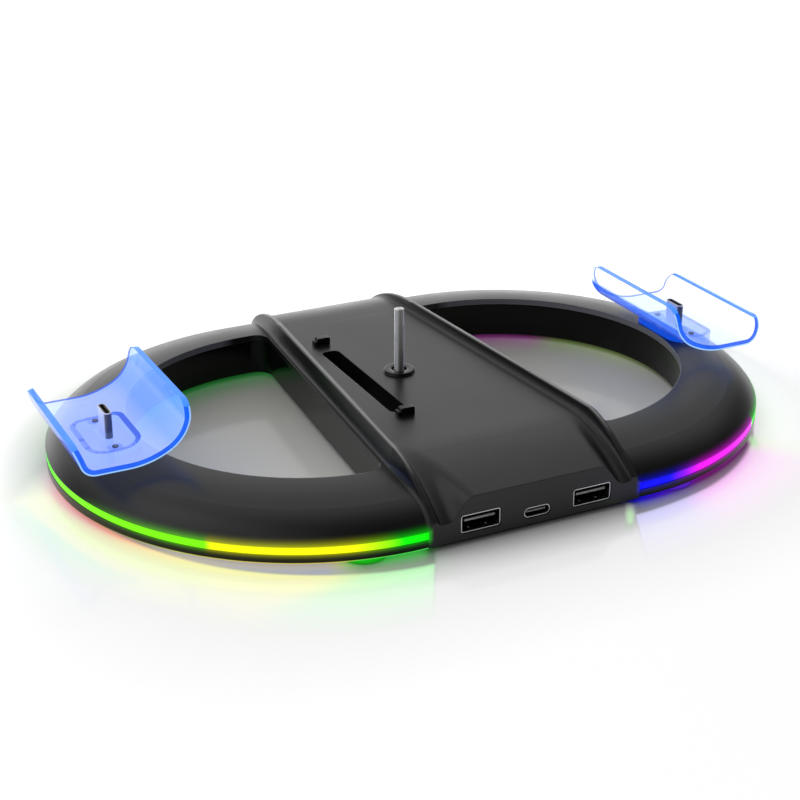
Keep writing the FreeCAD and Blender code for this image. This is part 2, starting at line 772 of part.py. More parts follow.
def build_socket(label, x, width, height, depth, corner):
    """Sheet-metal shell of a socket, open at the front, standing on the board."""
    front = "socket_set_back - end_radius"
    middle = (x, "%s + (%s) / 2" % (front, depth))
    outer = rounded(box(label + "_outer", middle, BOARD_TOP, width, depth, height), Vector(0, 1, 0), corner)
    inner = rounded(box(label + "_inner", middle, BOARD_TOP + " + socket_sheet",
                        "%s - 2 * socket_sheet" % width, "2 * (%s)" % depth, "%s - 2 * socket_sheet" % height),
                    Vector(0, 1, 0), corner - size("socket_sheet"))
    piece(label, cut(label, outer, [inner]))


def build_socket_tongue(label, x, width, height, depth, tongue_width, tongue_thickness, rise):
    """Moulded block that closes the back of a socket, with its tongue."""
    front = "socket_set_back - end_radius"
    block = box(label + "_block", (x, "%s + %s - block_depth / 2" % (front, depth)),
                BOARD_TOP + " + socket_sheet + socket_fit", "%s - 2 * socket_sheet - 4 * socket_fit" % width,
                "block_depth", "%s - 2 * socket_sheet - 2 * socket_fit" % height)
    length = "%s - tongue_set_back - block_depth / 2" % depth
    tongue = box(label + "_tongue", (x, "%s + tongue_set_back + (%s) / 2" % (front, length)),
                 "%s + %s / 2 + %s - %s / 2" % (BOARD_TOP, height, rise, tongue_thickness),
                 tongue_width, length, tongue_thickness)
    piece(label, fuse(label, [block, tongue]))


def build_sockets():
    for side, x in (("left", "-socket_x"), ("right", "socket_x")):
        build_socket("usb_a_shell_" + side, x, "socket_width", "socket_height", "socket_depth",
                     size("socket_corner"))
        build_socket_tongue("usb_a_tongue_" + side, x, "socket_width", "socket_height", "socket_depth",
                            "tongue_width", "tongue_thickness", "tongue_rise")
    build_socket("usb_c_port_shell", "0", "inlet_width", "inlet_height", "inlet_depth",
                 FULL_ROUND * size("inlet_height"))
    build_socket_tongue("usb_c_port_tongue", "0", "inlet_width - inlet_height", "inlet_height", "inlet_depth",
                        "inlet_tongue_width", "inlet_tongue_thickness", "0")


# Console screw, its collar, the feet and the other fasteners

def build_console_screw():
    head_high = "floor + screw_play + screw_head_height"
    body = turned_body("screw_blank", [
        ("0", HEAD_LOW),
        ("screw_head / 2", HEAD_LOW),
        ("screw_head / 2", head_high),
        ("screw_neck / 2", head_high),
        ("screw_neck / 2", "deck_height"),
        ("screw_diameter / 2", "deck_height"),
        ("screw_diameter / 2", "screw_top - screw_tip"),
        ("screw_diameter / 2 - screw_tip", "screw_top"),
        ("0", "screw_top"),
    ])
    groove = box("coin_slot", ("0", "0"), "0", "coin_slot", "2 * screw_head", HEAD_LOW + " + coin_slot_depth")
    screw = piece("console_screw", cut("console_screw", body, [groove]))
    screw.setExpression(".Placement.Base.x", cells("screw_x"))


def build_collar():
    collar = turned_body("screw_collar", [
        ("collar_hole / 2", "deck_height"),
        ("collar_diameter / 2", "deck_height"),
        ("collar_diameter / 2", "deck_height + collar_lip"),
        ("collar_diameter / 2 - collar_step", "deck_height + collar_lip"),
        ("collar_diameter / 2 - collar_step", "deck_height + collar_height - collar_step"),
        ("collar_diameter / 2 - 2 * collar_step", "deck_height + collar_height"),
        ("collar_hole / 2", "deck_height + collar_height"),
    ])
    piece("screw_collar", collar)
    collar.setExpression(".Placement.Base.x", cells("screw_x"))


def build_feet():
    for depth, y in (("front", "-foot_y"), ("back", "foot_y")):
        for side, x in (("left", "-foot_x"), ("right", "foot_x")):
            node = "foot_%s_%s" % (depth, side)
            foot = turned_body(node, [
                ("0", "-foot_height"),
                ("foot_diameter / 2 - foot_edge", "-foot_height"),
                ("foot_diameter / 2", "foot_edge - foot_height"),
                ("foot_diameter / 2", "0"),
                ("0", "0"),
            ])
            piece(node, foot)
            foot.setExpression(".Placement.Base.x", cells(x))
            foot.setExpression(".Placement.Base.y", cells(y))


def build_screw_group(node, spots, head, head_height, shank, length, seat):
    """Screws driven upwards, alike, with the underside of each head at seat."""
    blank = turned_body(node + "_blank", [
        ("0", "%s - %s" % (seat, head_height)),
        ("%s / 2" % head, "%s - %s" % (seat, head_height)),
        ("%s / 2" % head, seat),
        ("%s / 2" % shank, seat),
        ("%s / 2" % shank, "%s + %s" % (seat, length)),
        ("0", "%s + %s" % (seat, length)),
    ])
    copies = [blank.Shape.translated(Vector(x, y, 0)) for x, y in spots]
    piece(node, moulded(node, Part.makeCompound(copies)))


# Cradle

def walk(start, heading, moves, inset):
    """Edges of a line that goes straight and turns left by arcs, set off to its left by inset."""
    edges = []
    x, z = start
    for length, radius, turn in moves:
        if radius == 0:
            ahead = (math.cos(heading), math.sin(heading))
            left = (-ahead[1] * inset, ahead[0] * inset)
            first = Vector(x + left[0], 0, z + left[1])
            x, z = x + ahead[0] * length, z + ahead[1] * length
            edges.append(Part.LineSegment(first, Vector(x + left[0], 0, z + left[1])))
        else:
            centre = (x - radius * math.sin(heading), z + radius * math.cos(heading))
            spots = []
            for share in (0.0, 0.5, 1.0):
                angle = heading + turn * share
                spots.append(Vector(centre[0] + (radius - inset) * math.sin(angle), 0,
                                    centre[1] - (radius - inset) * math.cos(angle)))
            heading += turn
            x, z = centre[0] + radius * math.sin(heading), centre[1] - radius * math.cos(heading)
            edges.append(Part.Arc(*spots))
    return edges, (x, z)


def trough_line(inset):
    """Cross-section of the trough's outer side, from the wall by the deck round to the outer wall."""
    inner_turn = math.radians(size("cradle_inner_angle"))
    sweep_turn = math.radians(size("cradle_sweep_angle"))
    outer_turn = math.radians(size("cradle_outer_angle"))
    moves = [
        (size("cradle_inner_straight"), 0, 0),
        (0, size("cradle_inner_radius"), inner_turn),
        (0, size("cradle_sweep_radius"), sweep_turn),
        (size("cradle_floor_width"), 0, 0),
        (0, size("cradle_outer_radius"), outer_turn),
        (size("cradle_outer_straight"), 0, 0),
    ]
    heading = -(inner_turn + sweep_turn)
    to_floor = walk((0.0, 0.0), heading, moves[:3], 0.0)[1]
    start = (size("cradle_floor_x") - to_floor[0], size("cradle_floor_height") - to_floor[1])
    return walk(start, heading, moves, inset)[0]


def along_y(edges, length, middle):
    """Closed section of line and arc edges, pulled along Y about middle."""
    shapes = [edge.toShape() for edge in edges]
    face = Part.Face(Part.Wire(shapes))
    face.translate(Vector(0, middle - length / 2, 0))
    return face.extrude(Vector(0, length, 0))


def build_trough():
    thickness = size("cradle_wall")
    outer = trough_line(0.0)
    inner = trough_line(thickness)
    section = list(outer)
    section.append(Part.LineSegment(outer[-1].EndPoint, inner[-1].EndPoint))
    section += inner[::-1]
    section.append(Part.LineSegment(inner[0].StartPoint, outer[0].StartPoint))
    trough = along_y(section, size("cradle_length"), size("cradle_y"))
    brims = [outer[0].StartPoint, outer[-1].EndPoint]
    corners = []
    for edge in trough.Edges:
        ends = [vertex.Point for vertex in edge.Vertexes]
        at_brim = any(abs(end.x - brim.x) + abs(end.z - brim.z) < SAME for end in ends for brim in brims)
        if at_brim and abs(ends[0].y - ends[1].y) < SAME and abs(edge.Length - thickness) < SAME:
            corners.append(edge)
    return trough.makeFillet(size("cradle_corner"), corners)


def build_cradle(case_outer):
    mid_wall = trough_line(size("cradle_wall") / 2)
    over = along_y(mid_wall + [Part.LineSegment(mid_wall[-1].EndPoint, mid_wall[0].StartPoint)],
                   2 * size("cradle_length"), size("cradle_y"))
    top = "cradle_floor_height + 2 * cradle_wall - skirt_height"
    middle = ("pedestal_x", "cradle_y")
    solid = rounded(box("pedestal_solid", middle, "skirt_height", "pedestal_width", "pedestal_length", top),
                    Vector(0, 0, 1), size("pedestal_corner"))
    core = rounded(box("pedestal_core", middle, "0", "pedestal_width - 2 * pedestal_wall",
                       "pedestal_length - 2 * pedestal_wall", "2 * (%s)" % top),
                   Vector(0, 0, 1), size("pedestal_corner") - size("pedestal_wall"))
    right_spots = [(size("pedestal_x"), y) for y in cradle_screw_ys]
    bosses = moulded("pedestal_bosses", columns(
        right_spots, size("cradle_boss_diameter"), size("skirt_height"),
        size("cradle_floor_height") + 2 * size("cradle_wall")))
    blank = fuse("pedestal_blank", [cut("pedestal_wall_ring", solid, [core]), bosses])
    pedestal = cut("pedestal", blank, [case_outer, moulded("over_trough", over)])
    form = fuse("cradle_form", [moulded("trough", build_trough()), pedestal])
    plug_hole = rounded(box("cradle_plug_hole", ("plug_x", "cradle_y"), "0", "plug_width + 2 * plug_fit",
                            "plug_length + 2 * plug_fit", "3 * cradle_floor_height"),
                        Vector(0, 0, 1), FULL_ROUND * (size("plug_width") + 2 * size("plug_fit")))
    tap_top = size("pad_height") + size("cradle_screw_length") + size("case_screw_fit")
    taps = moulded("pedestal_taps", columns(
        right_spots, size("cradle_screw_diameter") + size("case_screw_fit"), 0.0, tap_top))
    right = piece("cradle_right", cut("cradle_right", form, [plug_hole, taps]))
    mirrored("cradle_left", right)


def build_plug():
    spot = ("plug_x", "cradle_y")
    low = CHARGE_BOARD_TOP + " + plug_root"
    high = CRADLE_FLOOR_TOP + " + plug_stand"
    height = "%s - (%s)" % (high, low)
    up = Vector(0, 0, 1)
    corner = FULL_ROUND * size("plug_width")
    inner_width = size("plug_width") - 2 * size("plug_sheet")

    outer = rounded(box("plug_outer", spot, low, "plug_width", "plug_length", height), up, corner)
    bore = rounded(box("plug_bore", spot, "0", "plug_width - 2 * plug_sheet", "plug_length - 2 * plug_sheet",
                       "4 * cradle_floor_height"), up, FULL_ROUND * inner_width)
    right_shell = piece("plug_shell_right", cut("plug_shell_right", outer, [bore]))
    mirrored("plug_shell_left", right_shell)

    core = rounded(box("plug_core_blank", spot, low, "plug_width - 2 * plug_sheet", "plug_length - 2 * plug_sheet",
                       height + " - plug_fit"), up, FULL_ROUND * inner_width)
    mouth = box("plug_mouth", spot, high + " - plug_mouth_depth", "plug_mouth_width", "plug_mouth_length",
                "2 * plug_mouth_depth")
    right_core = piece("plug_core_right", cut("plug_core_right", core, [mouth]))
    mirrored("plug_core_left", right_core)

    holder = rounded(box("holder_blank", spot, CHARGE_BOARD_TOP, "holder_width", "holder_length",
                         "cradle_floor_height - plug_fit - (%s)" % CHARGE_BOARD_TOP), up, size("holder_corner"))
    socket = rounded(box("holder_socket", spot, low, "plug_width", "plug_length", height), up, corner)
    right_holder = piece("plug_holder_right", cut("plug_holder_right", holder, [socket]))
    mirrored("plug_holder_left", right_holder)

    board = rounded(box("charge_board_blank", ("charge_board_x", "cradle_y"), "charge_board_height",
                        "charge_board_width", "charge_board_length", "board_thickness"), up, size("holder_corner"))
    right_board = piece("charge_board_right", board)
    mirrored("charge_board_left", right_board)


def build_lead():
    """Flat lead from below the small board, down to the floor and round the ring to the main board's edge."""
    half = size("straight_length") / 2
    radius = size("lead_run_radius")
    bend = size("lead_bend")
    low = size("floor")
    wide = size("lead_width") / 2
    thick = size("lead_thickness")
    top = size("charge_board_height")
    right_x = half + radius

    def end_face(corners):
        return Part.Face(Part.makePolygon(corners + corners[:1]))

    knee = low + bend
    upright = [Vector(right_x - wide, bend, knee), Vector(right_x + wide, bend, knee),
               Vector(right_x + wide, bend - thick, knee), Vector(right_x - wide, bend - thick, knee)]
    level = [Vector(right_x - wide, 0, low), Vector(right_x + wide, 0, low),
             Vector(right_x + wide, 0, low + thick), Vector(right_x - wide, 0, low + thick)]
    front = [Vector(half, -radius - wide, low), Vector(half, -radius + wide, low),
             Vector(half, -radius + wide, low + thick), Vector(half, -radius - wide, low + thick)]
    drop = end_face(upright).extrude(Vector(0, 0, top - knee))
    elbow = end_face(upright).revolve(Vector(right_x, 0, knee), Vector(-1, 0, 0), 90)
    run = end_face(level).revolve(Vector(half, 0, low), Vector(0, 0, -1), 90)
    tail = end_face(front).extrude(Vector(size("board_half_width") - half, 0, 0))
    lead = drop.multiFuse([elbow, run, tail]).removeSplitter()
    right = piece("charge_lead_right", moulded("charge_lead_right", lead))
    mirrored("charge_lead_left", right)


case_outer = build_top_shell()
build_bottom_cover()
build_lights()
build_board()
build_sockets()
build_console_screw()
build_collar()
build_feet()
build_cradle(case_outer)
build_plug()
build_lead()
build_screw_group("housing_screws", case_screw_spots, "case_screw_head", "case_screw_head_height",
                  "case_screw_diameter", "case_screw_length", "well_head_depth")
build_screw_group("cradle_screws", cradle_screw_spots, "cradle_screw_head", "cradle_screw_head_height",
                  "cradle_screw_diameter", "cradle_screw_length", "pad_height")
doc.recompute()

# Checks, then one file for each sub-part
for item in doc.Objects:
    if "Invalid" in item.State or "Error" in item.State:
        raise RuntimeError("%s failed to build: %s" % (item.Label, item.State))
for item in pieces:
    if item.Shape.isNull() or not item.Shape.isValid() or item.Shape.Volume <= 0:
        raise RuntimeError("%s has no valid solid" % item.Label)
os.makedirs("parts", exist_ok=True)
for item in pieces:
    item.Shape.exportStep("parts/%s.step" % item.Label)
    print("%-22s %2d solid(s) %10.1f mm3" % (item.Label, len(item.Shape.Solids), item.Shape.Volume))
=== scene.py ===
import json
import math

import bmesh
import bpy
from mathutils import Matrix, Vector


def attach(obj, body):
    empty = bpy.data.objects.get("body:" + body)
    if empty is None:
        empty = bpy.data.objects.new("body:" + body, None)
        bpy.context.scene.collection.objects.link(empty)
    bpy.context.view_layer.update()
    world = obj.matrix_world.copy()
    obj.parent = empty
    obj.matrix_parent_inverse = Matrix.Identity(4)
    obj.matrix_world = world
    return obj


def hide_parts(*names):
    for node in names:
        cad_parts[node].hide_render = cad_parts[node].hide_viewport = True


# Vertical console stand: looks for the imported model, in metres and in its frame.
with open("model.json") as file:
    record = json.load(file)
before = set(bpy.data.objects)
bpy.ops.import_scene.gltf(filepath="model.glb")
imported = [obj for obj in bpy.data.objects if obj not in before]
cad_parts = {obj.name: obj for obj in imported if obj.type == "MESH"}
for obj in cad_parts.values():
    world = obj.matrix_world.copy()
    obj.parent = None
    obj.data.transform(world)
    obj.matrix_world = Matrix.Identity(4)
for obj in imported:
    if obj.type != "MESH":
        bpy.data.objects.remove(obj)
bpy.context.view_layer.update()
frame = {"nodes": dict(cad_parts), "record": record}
nodes = frame["nodes"]

MM = 0.001
FOOT = 2.0 * MM
SIDES = (("left", -1), ("right", 1))
QUARTERS = ((1, 1), (-1, 1), (-1, -1), (1, -1))

# Outline of the case, shared by the materials and the pieces
STRAIGHT_HALF = 37.5 * MM
END_RADIUS = 85.0 * MM
OPENING_RADIUS = 59.0 * MM
CROWN_EDGE_Z = 14.5 * MM + FOOT
STRIP_END_X = 36.3 * MM
STRIP_LOW = 2.75 * MM + FOOT
STRIP_HIGH = 5.25 * MM + FOOT
RIB_Z = 20.5 * MM + FOOT
RIB_SPREAD = 29.8 * MM
RIB_SPLAY = 0.0746
RIB_BEND = 58.0 * MM

# Pedestals of the cradles, and the plugs that stand in them
CRADLE_Y = -0.6 * MM
PEDESTAL_X = 106.0 * MM
PEDESTAL_WIDTH = 17.6 * MM
PEDESTAL_LENGTH = 28.0 * MM
PEDESTAL_CORNER = 6.0 * MM
PEDESTAL_WALL = 1.8 * MM
POST_SPREAD = 10.5 * MM
POST_OUTER = 2.5 * MM
POST_BORE = 1.05 * MM
HOLDER_X = 105.65 * MM
HOLDER_HALF_WIDTH = 1.5 * MM
HOLDER_HALF_LENGTH = 5.0 * MM

# Camera, found from the sockets, the ring and the cradles
CAMERA_PLACE = (-0.23616, -0.47246, 0.24155)
CAMERA_TURN = -26.19
CAMERA_TILT = 23.83
FOCAL_PIXELS = 1709.93
PICTURE_PIXELS = 800
SENSOR_MM = 36.0


# Node helpers

NOISE_DETAIL = 3.0
NOISE_LOW = 0.3
NOISE_HIGH = 0.7
EDGE_SAMPLES = 4


def new_material(name):
    """Material with an empty node tree, its output and one principled shader."""
    material = bpy.data.materials.new(name)
    material.use_nodes = True
    tree = material.node_tree
    tree.nodes.clear()
    output = tree.nodes.new("ShaderNodeOutputMaterial")
    shader = tree.nodes.new("ShaderNodeBsdfPrincipled")
    tree.links.new(shader.outputs["BSDF"], output.inputs["Surface"])
    return material, tree, shader


def shader_of(material):
    return material.node_tree.nodes["Principled BSDF"]


def settings(shader, **values):
    """Set sockets of a shader by name, with _ for a space."""
    for name, value in values.items():
        shader.inputs[name.replace("_", " ")].default_value = value


def math_node(tree, operation, first, second=None):
    """One sum; each term is a number or the output of another node."""
    node = tree.nodes.new("ShaderNodeMath")
    node.operation = operation
    for socket, term in zip(node.inputs, (first, second)):
        if term is None:
            continue
        if isinstance(term, (int, float)):
            socket.default_value = term
        else:
            tree.links.new(term, socket)
    return node.outputs["Value"]


def absolute(tree, value):
    return math_node(tree, "ABSOLUTE", value)


def total(tree, first, second):
    return math_node(tree, "ADD", first, second)


def difference(tree, first, second):
    return math_node(tree, "SUBTRACT", first, second)


def product(tree, first, *others):
    for other in others:
        first = math_node(tree, "MULTIPLY", first, other)
    return first


def largest(tree, first, *others):
    for other in others:
        first = math_node(tree, "MAXIMUM", first, other)
    return first


def power(tree, value, exponent):
    return math_node(tree, "POWER", value, exponent)


def hypotenuse(tree, first, second):
    return math_node(tree, "SQRT", total(tree, power(tree, first, 2.0), power(tree, second, 2.0)))


def ranged(tree, value, from_low, from_high, low, high, smooth=False):
    """Map a value from one range to another, held at both ends."""
    span = tree.nodes.new("ShaderNodeMapRange")
    span.interpolation_type = "SMOOTHSTEP" if smooth else "LINEAR"
    span.inputs["From Min"].default_value = from_low
    span.inputs["From Max"].default_value = from_high
    span.inputs["To Min"].default_value = low
    span.inputs["To Max"].default_value = high
    tree.links.new(value, span.inputs["Value"])
    return span.outputs["Result"]


def rise(tree, value, low, high, smooth=False):
    """Nothing below a range of a value, one above it."""
    return ranged(tree, value, low, high, 0.0, 1.0, smooth)


def fall(tree, value, low, high, smooth=False):
    """One below a range of a value, nothing above it."""
    return ranged(tree, value, low, high, 1.0, 0.0, smooth)


def band(tree, value, low, high, soft):
    """One within a band of a value, falling to nothing past its edges."""
    return product(tree, rise(tree, value, low - soft, low), fall(tree, value, high, high + soft))


def place_parts(tree):
    """X, Y and Z in the frame."""
    place = tree.nodes.new("ShaderNodeTexCoord")
    split = tree.nodes.new("ShaderNodeSeparateXYZ")
    tree.links.new(place.outputs["Object"], split.inputs["Vector"])
    return split.outputs["X"], split.outputs["Y"], split.outputs["Z"]


def object_noise(tree, scale):
    """Noise in the frame, in cells per metre."""
    place = tree.nodes.new("ShaderNodeTexCoord")
    noise = tree.nodes.new("ShaderNodeTexNoise")
    noise.inputs["Scale"].default_value = scale
    noise.inputs["Detail"].default_value = NOISE_DETAIL
    tree.links.new(place.outputs["Object"], noise.inputs["Vector"])
    return noise.outputs["Fac"]


def colour_ramp(tree, value, stops):
    """Colours along a value, from stops of (position, colour)."""
    node = tree.nodes.new("ShaderNodeValToRGB")
    ramp = node.color_ramp
    while len(ramp.elements) > 1:
        ramp.elements.remove(ramp.elements[-1])
    ramp.elements[0].position = stops[0][0]
    ramp.elements[0].color = (*stops[0][1], 1)
    for position, colour in stops[1:]:
        ramp.elements.new(position).color = (*colour, 1)
    tree.links.new(value, node.inputs["Fac"])
    return node.outputs["Color"]


def blend(tree, factor, first, second):
    """Mix of two colours; each is a colour or the output of another node."""
    node = tree.nodes.new("ShaderNodeMix")
    node.data_type = "RGBA"
    tree.links.new(factor, node.inputs["Factor"])
    for name, colour in (("A", first), ("B", second)):
        if isinstance(colour, tuple):
            node.inputs[name].default_value = (*colour, 1)
        else:
            tree.links.new(colour, node.inputs[name])
    return node.outputs["Result"]


def lay_over(material, factor, colour):
    """Lay a colour over a material's own colour, by a factor."""
    tree = material.node_tree
    base = shader_of(material).inputs["Base Color"]
    plain = base.links[0].from_socket
    tree.links.new(blend(tree, factor, plain, colour), base)


def add_grain(tree, shader, scale, depth, edge_radius=0.0, strength=0.5):
    """Fine surface grain, and softened edges where a radius is given."""
    bump = tree.nodes.new("ShaderNodeBump")
    bump.inputs["Strength"].default_value = strength
    bump.inputs["Distance"].default_value = depth
    tree.links.new(object_noise(tree, scale), bump.inputs["Height"])
    if edge_radius:
        edge = tree.nodes.new("ShaderNodeBevel")
        edge.samples = EDGE_SAMPLES
        edge.inputs["Radius"].default_value = edge_radius
        tree.links.new(edge.outputs["Normal"], bump.inputs["Normal"])
    tree.links.new(bump.outputs["Normal"], shader.inputs["Normal"])


def add_rough(tree, shader, scale, low, high):
    """Roughness that varies between two values."""
    rough = ranged(tree, object_noise(tree, scale), NOISE_LOW, NOISE_HIGH, low, high)
    tree.links.new(rough, shader.inputs["Roughness"])


def add_tint(tree, shader, scale, dark, light):
    """Slow colour variation between two close colours."""
    colour = colour_ramp(tree, object_noise(tree, scale), [(NOISE_LOW, dark), (NOISE_HIGH, light)])
    tree.links.new(colour, shader.inputs["Base Color"])


# Colours of the light strips, by the share of the way round an end from its front tip

GREEN = (0.0, 1.0, 0.0)
LIME = (0.20, 1.0, 0.0)
YELLOW = (0.95, 1.0, 0.0)
BLUE = (0.0, 0.0, 1.0)
VIOLET = (0.25, 0.0, 1.0)
MAGENTA = (1.0, 0.0, 1.0)
STRIP_STOPS = {
    -1: [(0.0, GREEN), (0.03, GREEN), (0.085, YELLOW), (0.238, YELLOW), (0.246, LIME),
         (0.48, LIME), (0.58, GREEN), (0.75, GREEN), (0.88, LIME), (1.0, GREEN)],
    1: [(0.0, BLUE), (0.045, BLUE), (0.065, VIOLET), (0.095, MAGENTA), (0.235, MAGENTA), (0.243, GREEN),
        (0.55, GREEN), (0.66, YELLOW), (0.78, LIME), (0.84, MAGENTA), (0.93, MAGENTA), (1.0, VIOLET)],
}
SOFT_GREEN = (0.10, 0.90, 0.12)
# Colours of the painted line along the bottom edge of the cover, a painted reflection of the strips' light on
# the floor
EDGE_STOPS = {
    -1: [(0.0, SOFT_GREEN), (0.075, SOFT_GREEN), (0.10, (0.90, 0.70, 0.16)),
         (0.50, (0.90, 0.74, 0.20)), (0.60, GREEN), (1.0, GREEN)],
    1: [(0.0, BLUE), (0.06, (0.12, 0.0, 0.7)), (0.10, (0.25, 0.0, 0.25)), (1.0, (0.1, 0.0, 0.1))],
}
# Colours of the painted glow from the strips on the rubber feet
FOOT_BLUE = (0.16, 0.02, 1.0)
FOOT_STOPS = {-1: [(0.0, GREEN), (1.0, GREEN)], 1: [(0.0, FOOT_BLUE), (1.0, FOOT_BLUE)]}


def round_case(tree, x, y):
    """Distance from the middle line of the case, and the share of the way round an end."""
    out = largest(tree, difference(tree, absolute(tree, x), STRAIGHT_HALF), 0.0)
    turn = math_node(tree, "ARCTAN2", out, product(tree, y, -1.0))
    return hypotenuse(tree, out, y), math_node(tree, "DIVIDE", turn, math.pi)


def side_colour(tree, x, share, stops):
    """Colour by the share of the way round an end, with stops for each side."""
    right = math_node(tree, "GREATER_THAN", x, 0.0)
    return blend(tree, right, colour_ramp(tree, share, stops[-1]), colour_ramp(tree, share, stops[1]))


# Painted glow and painted highlights on the black plastic

# Height of the painted coloured line along the cover's bottom edge
EDGE_LINE_Z = (FOOT + 0.10 * MM, FOOT + 0.35 * MM)
HALO_POWER = 2.5
HALO_START = (END_RADIUS - 7.0 * MM, END_RADIUS - 2.0 * MM)
HALO_END = (STRIP_END_X - 1.6 * MM, STRIP_END_X)
HALO_TURN = (0.07, 0.22)
# Where the painted highlight on the lip lies
LIP_WIDTH = (OPENING_RADIUS + 0.1 * MM, OPENING_RADIUS + 0.3 * MM)
LIP_START = (STRAIGHT_HALF + 3.0 * MM, STRAIGHT_HALF + 8.0 * MM)
LIP_Z = (CROWN_EDGE_Z - 2.4 * MM, CROWN_EDGE_Z - 2.1 * MM)
# Where the painted highlight along the rib crests lies
CREST_WIDTH = (0.15 * MM, 0.65 * MM)
CREST_Z = (RIB_Z - 4.0 * MM, RIB_Z - 0.6 * MM)


def paint_strip_glow(material, reach, strength, stops, painted_edge_line=0.0):
    """Painted glow: emission that stands in for the strips' light spilling onto the black plastic beside
    them, with an optional painted coloured line along the bottom edge.
    """
    tree = material.node_tree
    x, y, z = place_parts(tree)
    radius, share = round_case(tree, x, y)
    colour = side_colour(tree, x, share, stops)
    middle = (STRIP_LOW + STRIP_HIGH) / 2
    half = (STRIP_HIGH - STRIP_LOW) / 2
    away = difference(tree, absolute(tree, difference(tree, z, middle)), half)
    painted_spill = product(tree, power(tree, fall(tree, away, 0.0, reach), HALO_POWER), strength)
    if painted_edge_line:
        line = fall(tree, z, *EDGE_LINE_Z)
        colour = blend(tree, line, colour, side_colour(tree, x, share, EDGE_STOPS))
        painted_spill = total(tree, painted_spill, product(tree, line, painted_edge_line))
    outside = rise(tree, radius, *HALO_START, smooth=True)
    past_end = rise(tree, absolute(tree, x), *HALO_END)
    turned_away = rise(tree, absolute(tree, difference(tree, share, 0.5)), *HALO_TURN)
    shader = shader_of(material)
    tree.links.new(colour, shader.inputs["Emission Color"])
    tree.links.new(product(tree, painted_spill, outside, past_end, turned_away), shader.inputs["Emission Strength"])


def paint_lip_highlight(material, light):
    """Painted highlight: lighter colour on the edge where the top shell ends round the openings."""
    tree = material.node_tree
    x, y, z = place_parts(tree)
    radius, _ = round_case(tree, x, y)
    at_edge = fall(tree, radius, *LIP_WIDTH)
    on_ring = rise(tree, absolute(tree, x), *LIP_START)
    lay_over(material, product(tree, at_edge, on_ring, rise(tree, z, *LIP_Z)), light)


def paint_crest_highlight(material, light):
    """Painted highlight along the crest of the two ribs."""
    tree = material.node_tree
    x, y, z = place_parts(tree)
    line = difference(tree, RIB_SPREAD, product(tree, largest(tree, y, -RIB_BEND), RIB_SPLAY))
    off_line = absolute(tree, difference(tree, absolute(tree, x), line))
    crest = fall(tree, off_line, *CREST_WIDTH, smooth=True)
    lay_over(material, product(tree, crest, rise(tree, z, *CREST_Z)), light)


# Kinds of material, their noise in cells per metre

MOULD_TINT_CELLS = 60.0
MOULD_ROUGH_CELLS = 35.0
MOULD_EDGE = 0.35 * MM
METAL_TINT_CELLS = 400.0
METAL_SHADE = 0.9
SCRATCH_DEPTH = 0.001 * MM
SCRATCH_STRENGTH = 0.1
MARKS_TURN = 0.25
# Where the painted shade on the plugs' front end lies
PLUG_NOSE = (CRADLE_Y - 3.7 * MM, CRADLE_Y - 2.9 * MM)
PLUG_RIM_Z = (25.75 * MM, 26.0 * MM)
GUIDE_DARK = (0.02, 0.02, 0.02)
GUIDE_ROUGH_CELLS = 900.0
GUIDE_ROUGH = (0.3, 0.4)
GUIDE_GRAIN_CELLS = 1500.0
GUIDE_GRAIN_DEPTH = 0.005 * MM


def moulded_plastic(name, dark, light, rough, grain_scale, grain_depth, specular=0.5):
    """Moulded plastic or rubber with a fine grain and softened edges."""
    material, tree, shader = new_material(name)
    settings(shader, Specular_IOR_Level=specular)
    add_tint(tree, shader, MOULD_TINT_CELLS, dark, light)
    add_rough(tree, shader, MOULD_ROUGH_CELLS, *rough)
    add_grain(tree, shader, grain_scale, grain_depth, MOULD_EDGE)
    return material


def plated_metal(name, colour, rough, scratch_scale, metallic=1.0, turned_marks=0.0):
    """Plated metal with fine scratches; turned marks draw its reflections out one way."""
    material, tree, shader = new_material(name)
    settings(shader, Metallic=metallic, Anisotropic=turned_marks, Anisotropic_Rotation=MARKS_TURN)
    add_tint(tree, shader, METAL_TINT_CELLS, tuple(METAL_SHADE * part for part in colour), colour)
    add_rough(tree, shader, scratch_scale, *rough)
    add_grain(tree, shader, scratch_scale, SCRATCH_DEPTH, strength=SCRATCH_STRENGTH)
    return material


def paint_nose_shade(material, dark):
    """Painted shade on the front end of the plugs, below their bright rim."""
    tree = material.node_tree
    _, y, z = place_parts(tree)
    lay_over(material, product(tree, fall(tree, y, *PLUG_NOSE), fall(tree, z, *PLUG_RIM_Z)), dark)


def glowing_strip(name, side, strength):
    """Milky strip lit from behind, its colour running along the strip."""
    material, tree, shader = new_material(name)
    settings(shader, Base_Color=(*GUIDE_DARK, 1), Specular_IOR_Level=0.1, Emission_Strength=strength)
    run = tree.nodes.new("ShaderNodeUVMap")
    run.uv_map = "run"
    split = tree.nodes.new("ShaderNodeSeparateXYZ")
    tree.links.new(run.outputs["UV"], split.inputs["Vector"])
    tree.links.new(colour_ramp(tree, split.outputs["X"], STRIP_STOPS[side]), shader.inputs["Emission Color"])
    add_rough(tree, shader, GUIDE_ROUGH_CELLS, *GUIDE_ROUGH)
    add_grain(tree, shader, GUIDE_GRAIN_CELLS, GUIDE_GRAIN_DEPTH)
    return material


# Clear blue plastic of the cradles

CLEAR_IOR = 1.45
CLEAR_TINT_CELLS = 90.0
CLEAR_EDGE_CELLS = 140.0
CLEAR_ROUGH_CELLS = 120.0
CLEAR_GRAIN_CELLS = 260.0
CLEAR_GRAIN_DEPTH = 0.01 * MM
CLEAR_GRAIN_STRENGTH = 0.15
CLEAR_DARK = (0.004, 0.02, 0.16)
CLEAR_LIGHT = (0.006, 0.03, 0.20)
DEEP_BLUE = (0.002, 0.030, 0.33)
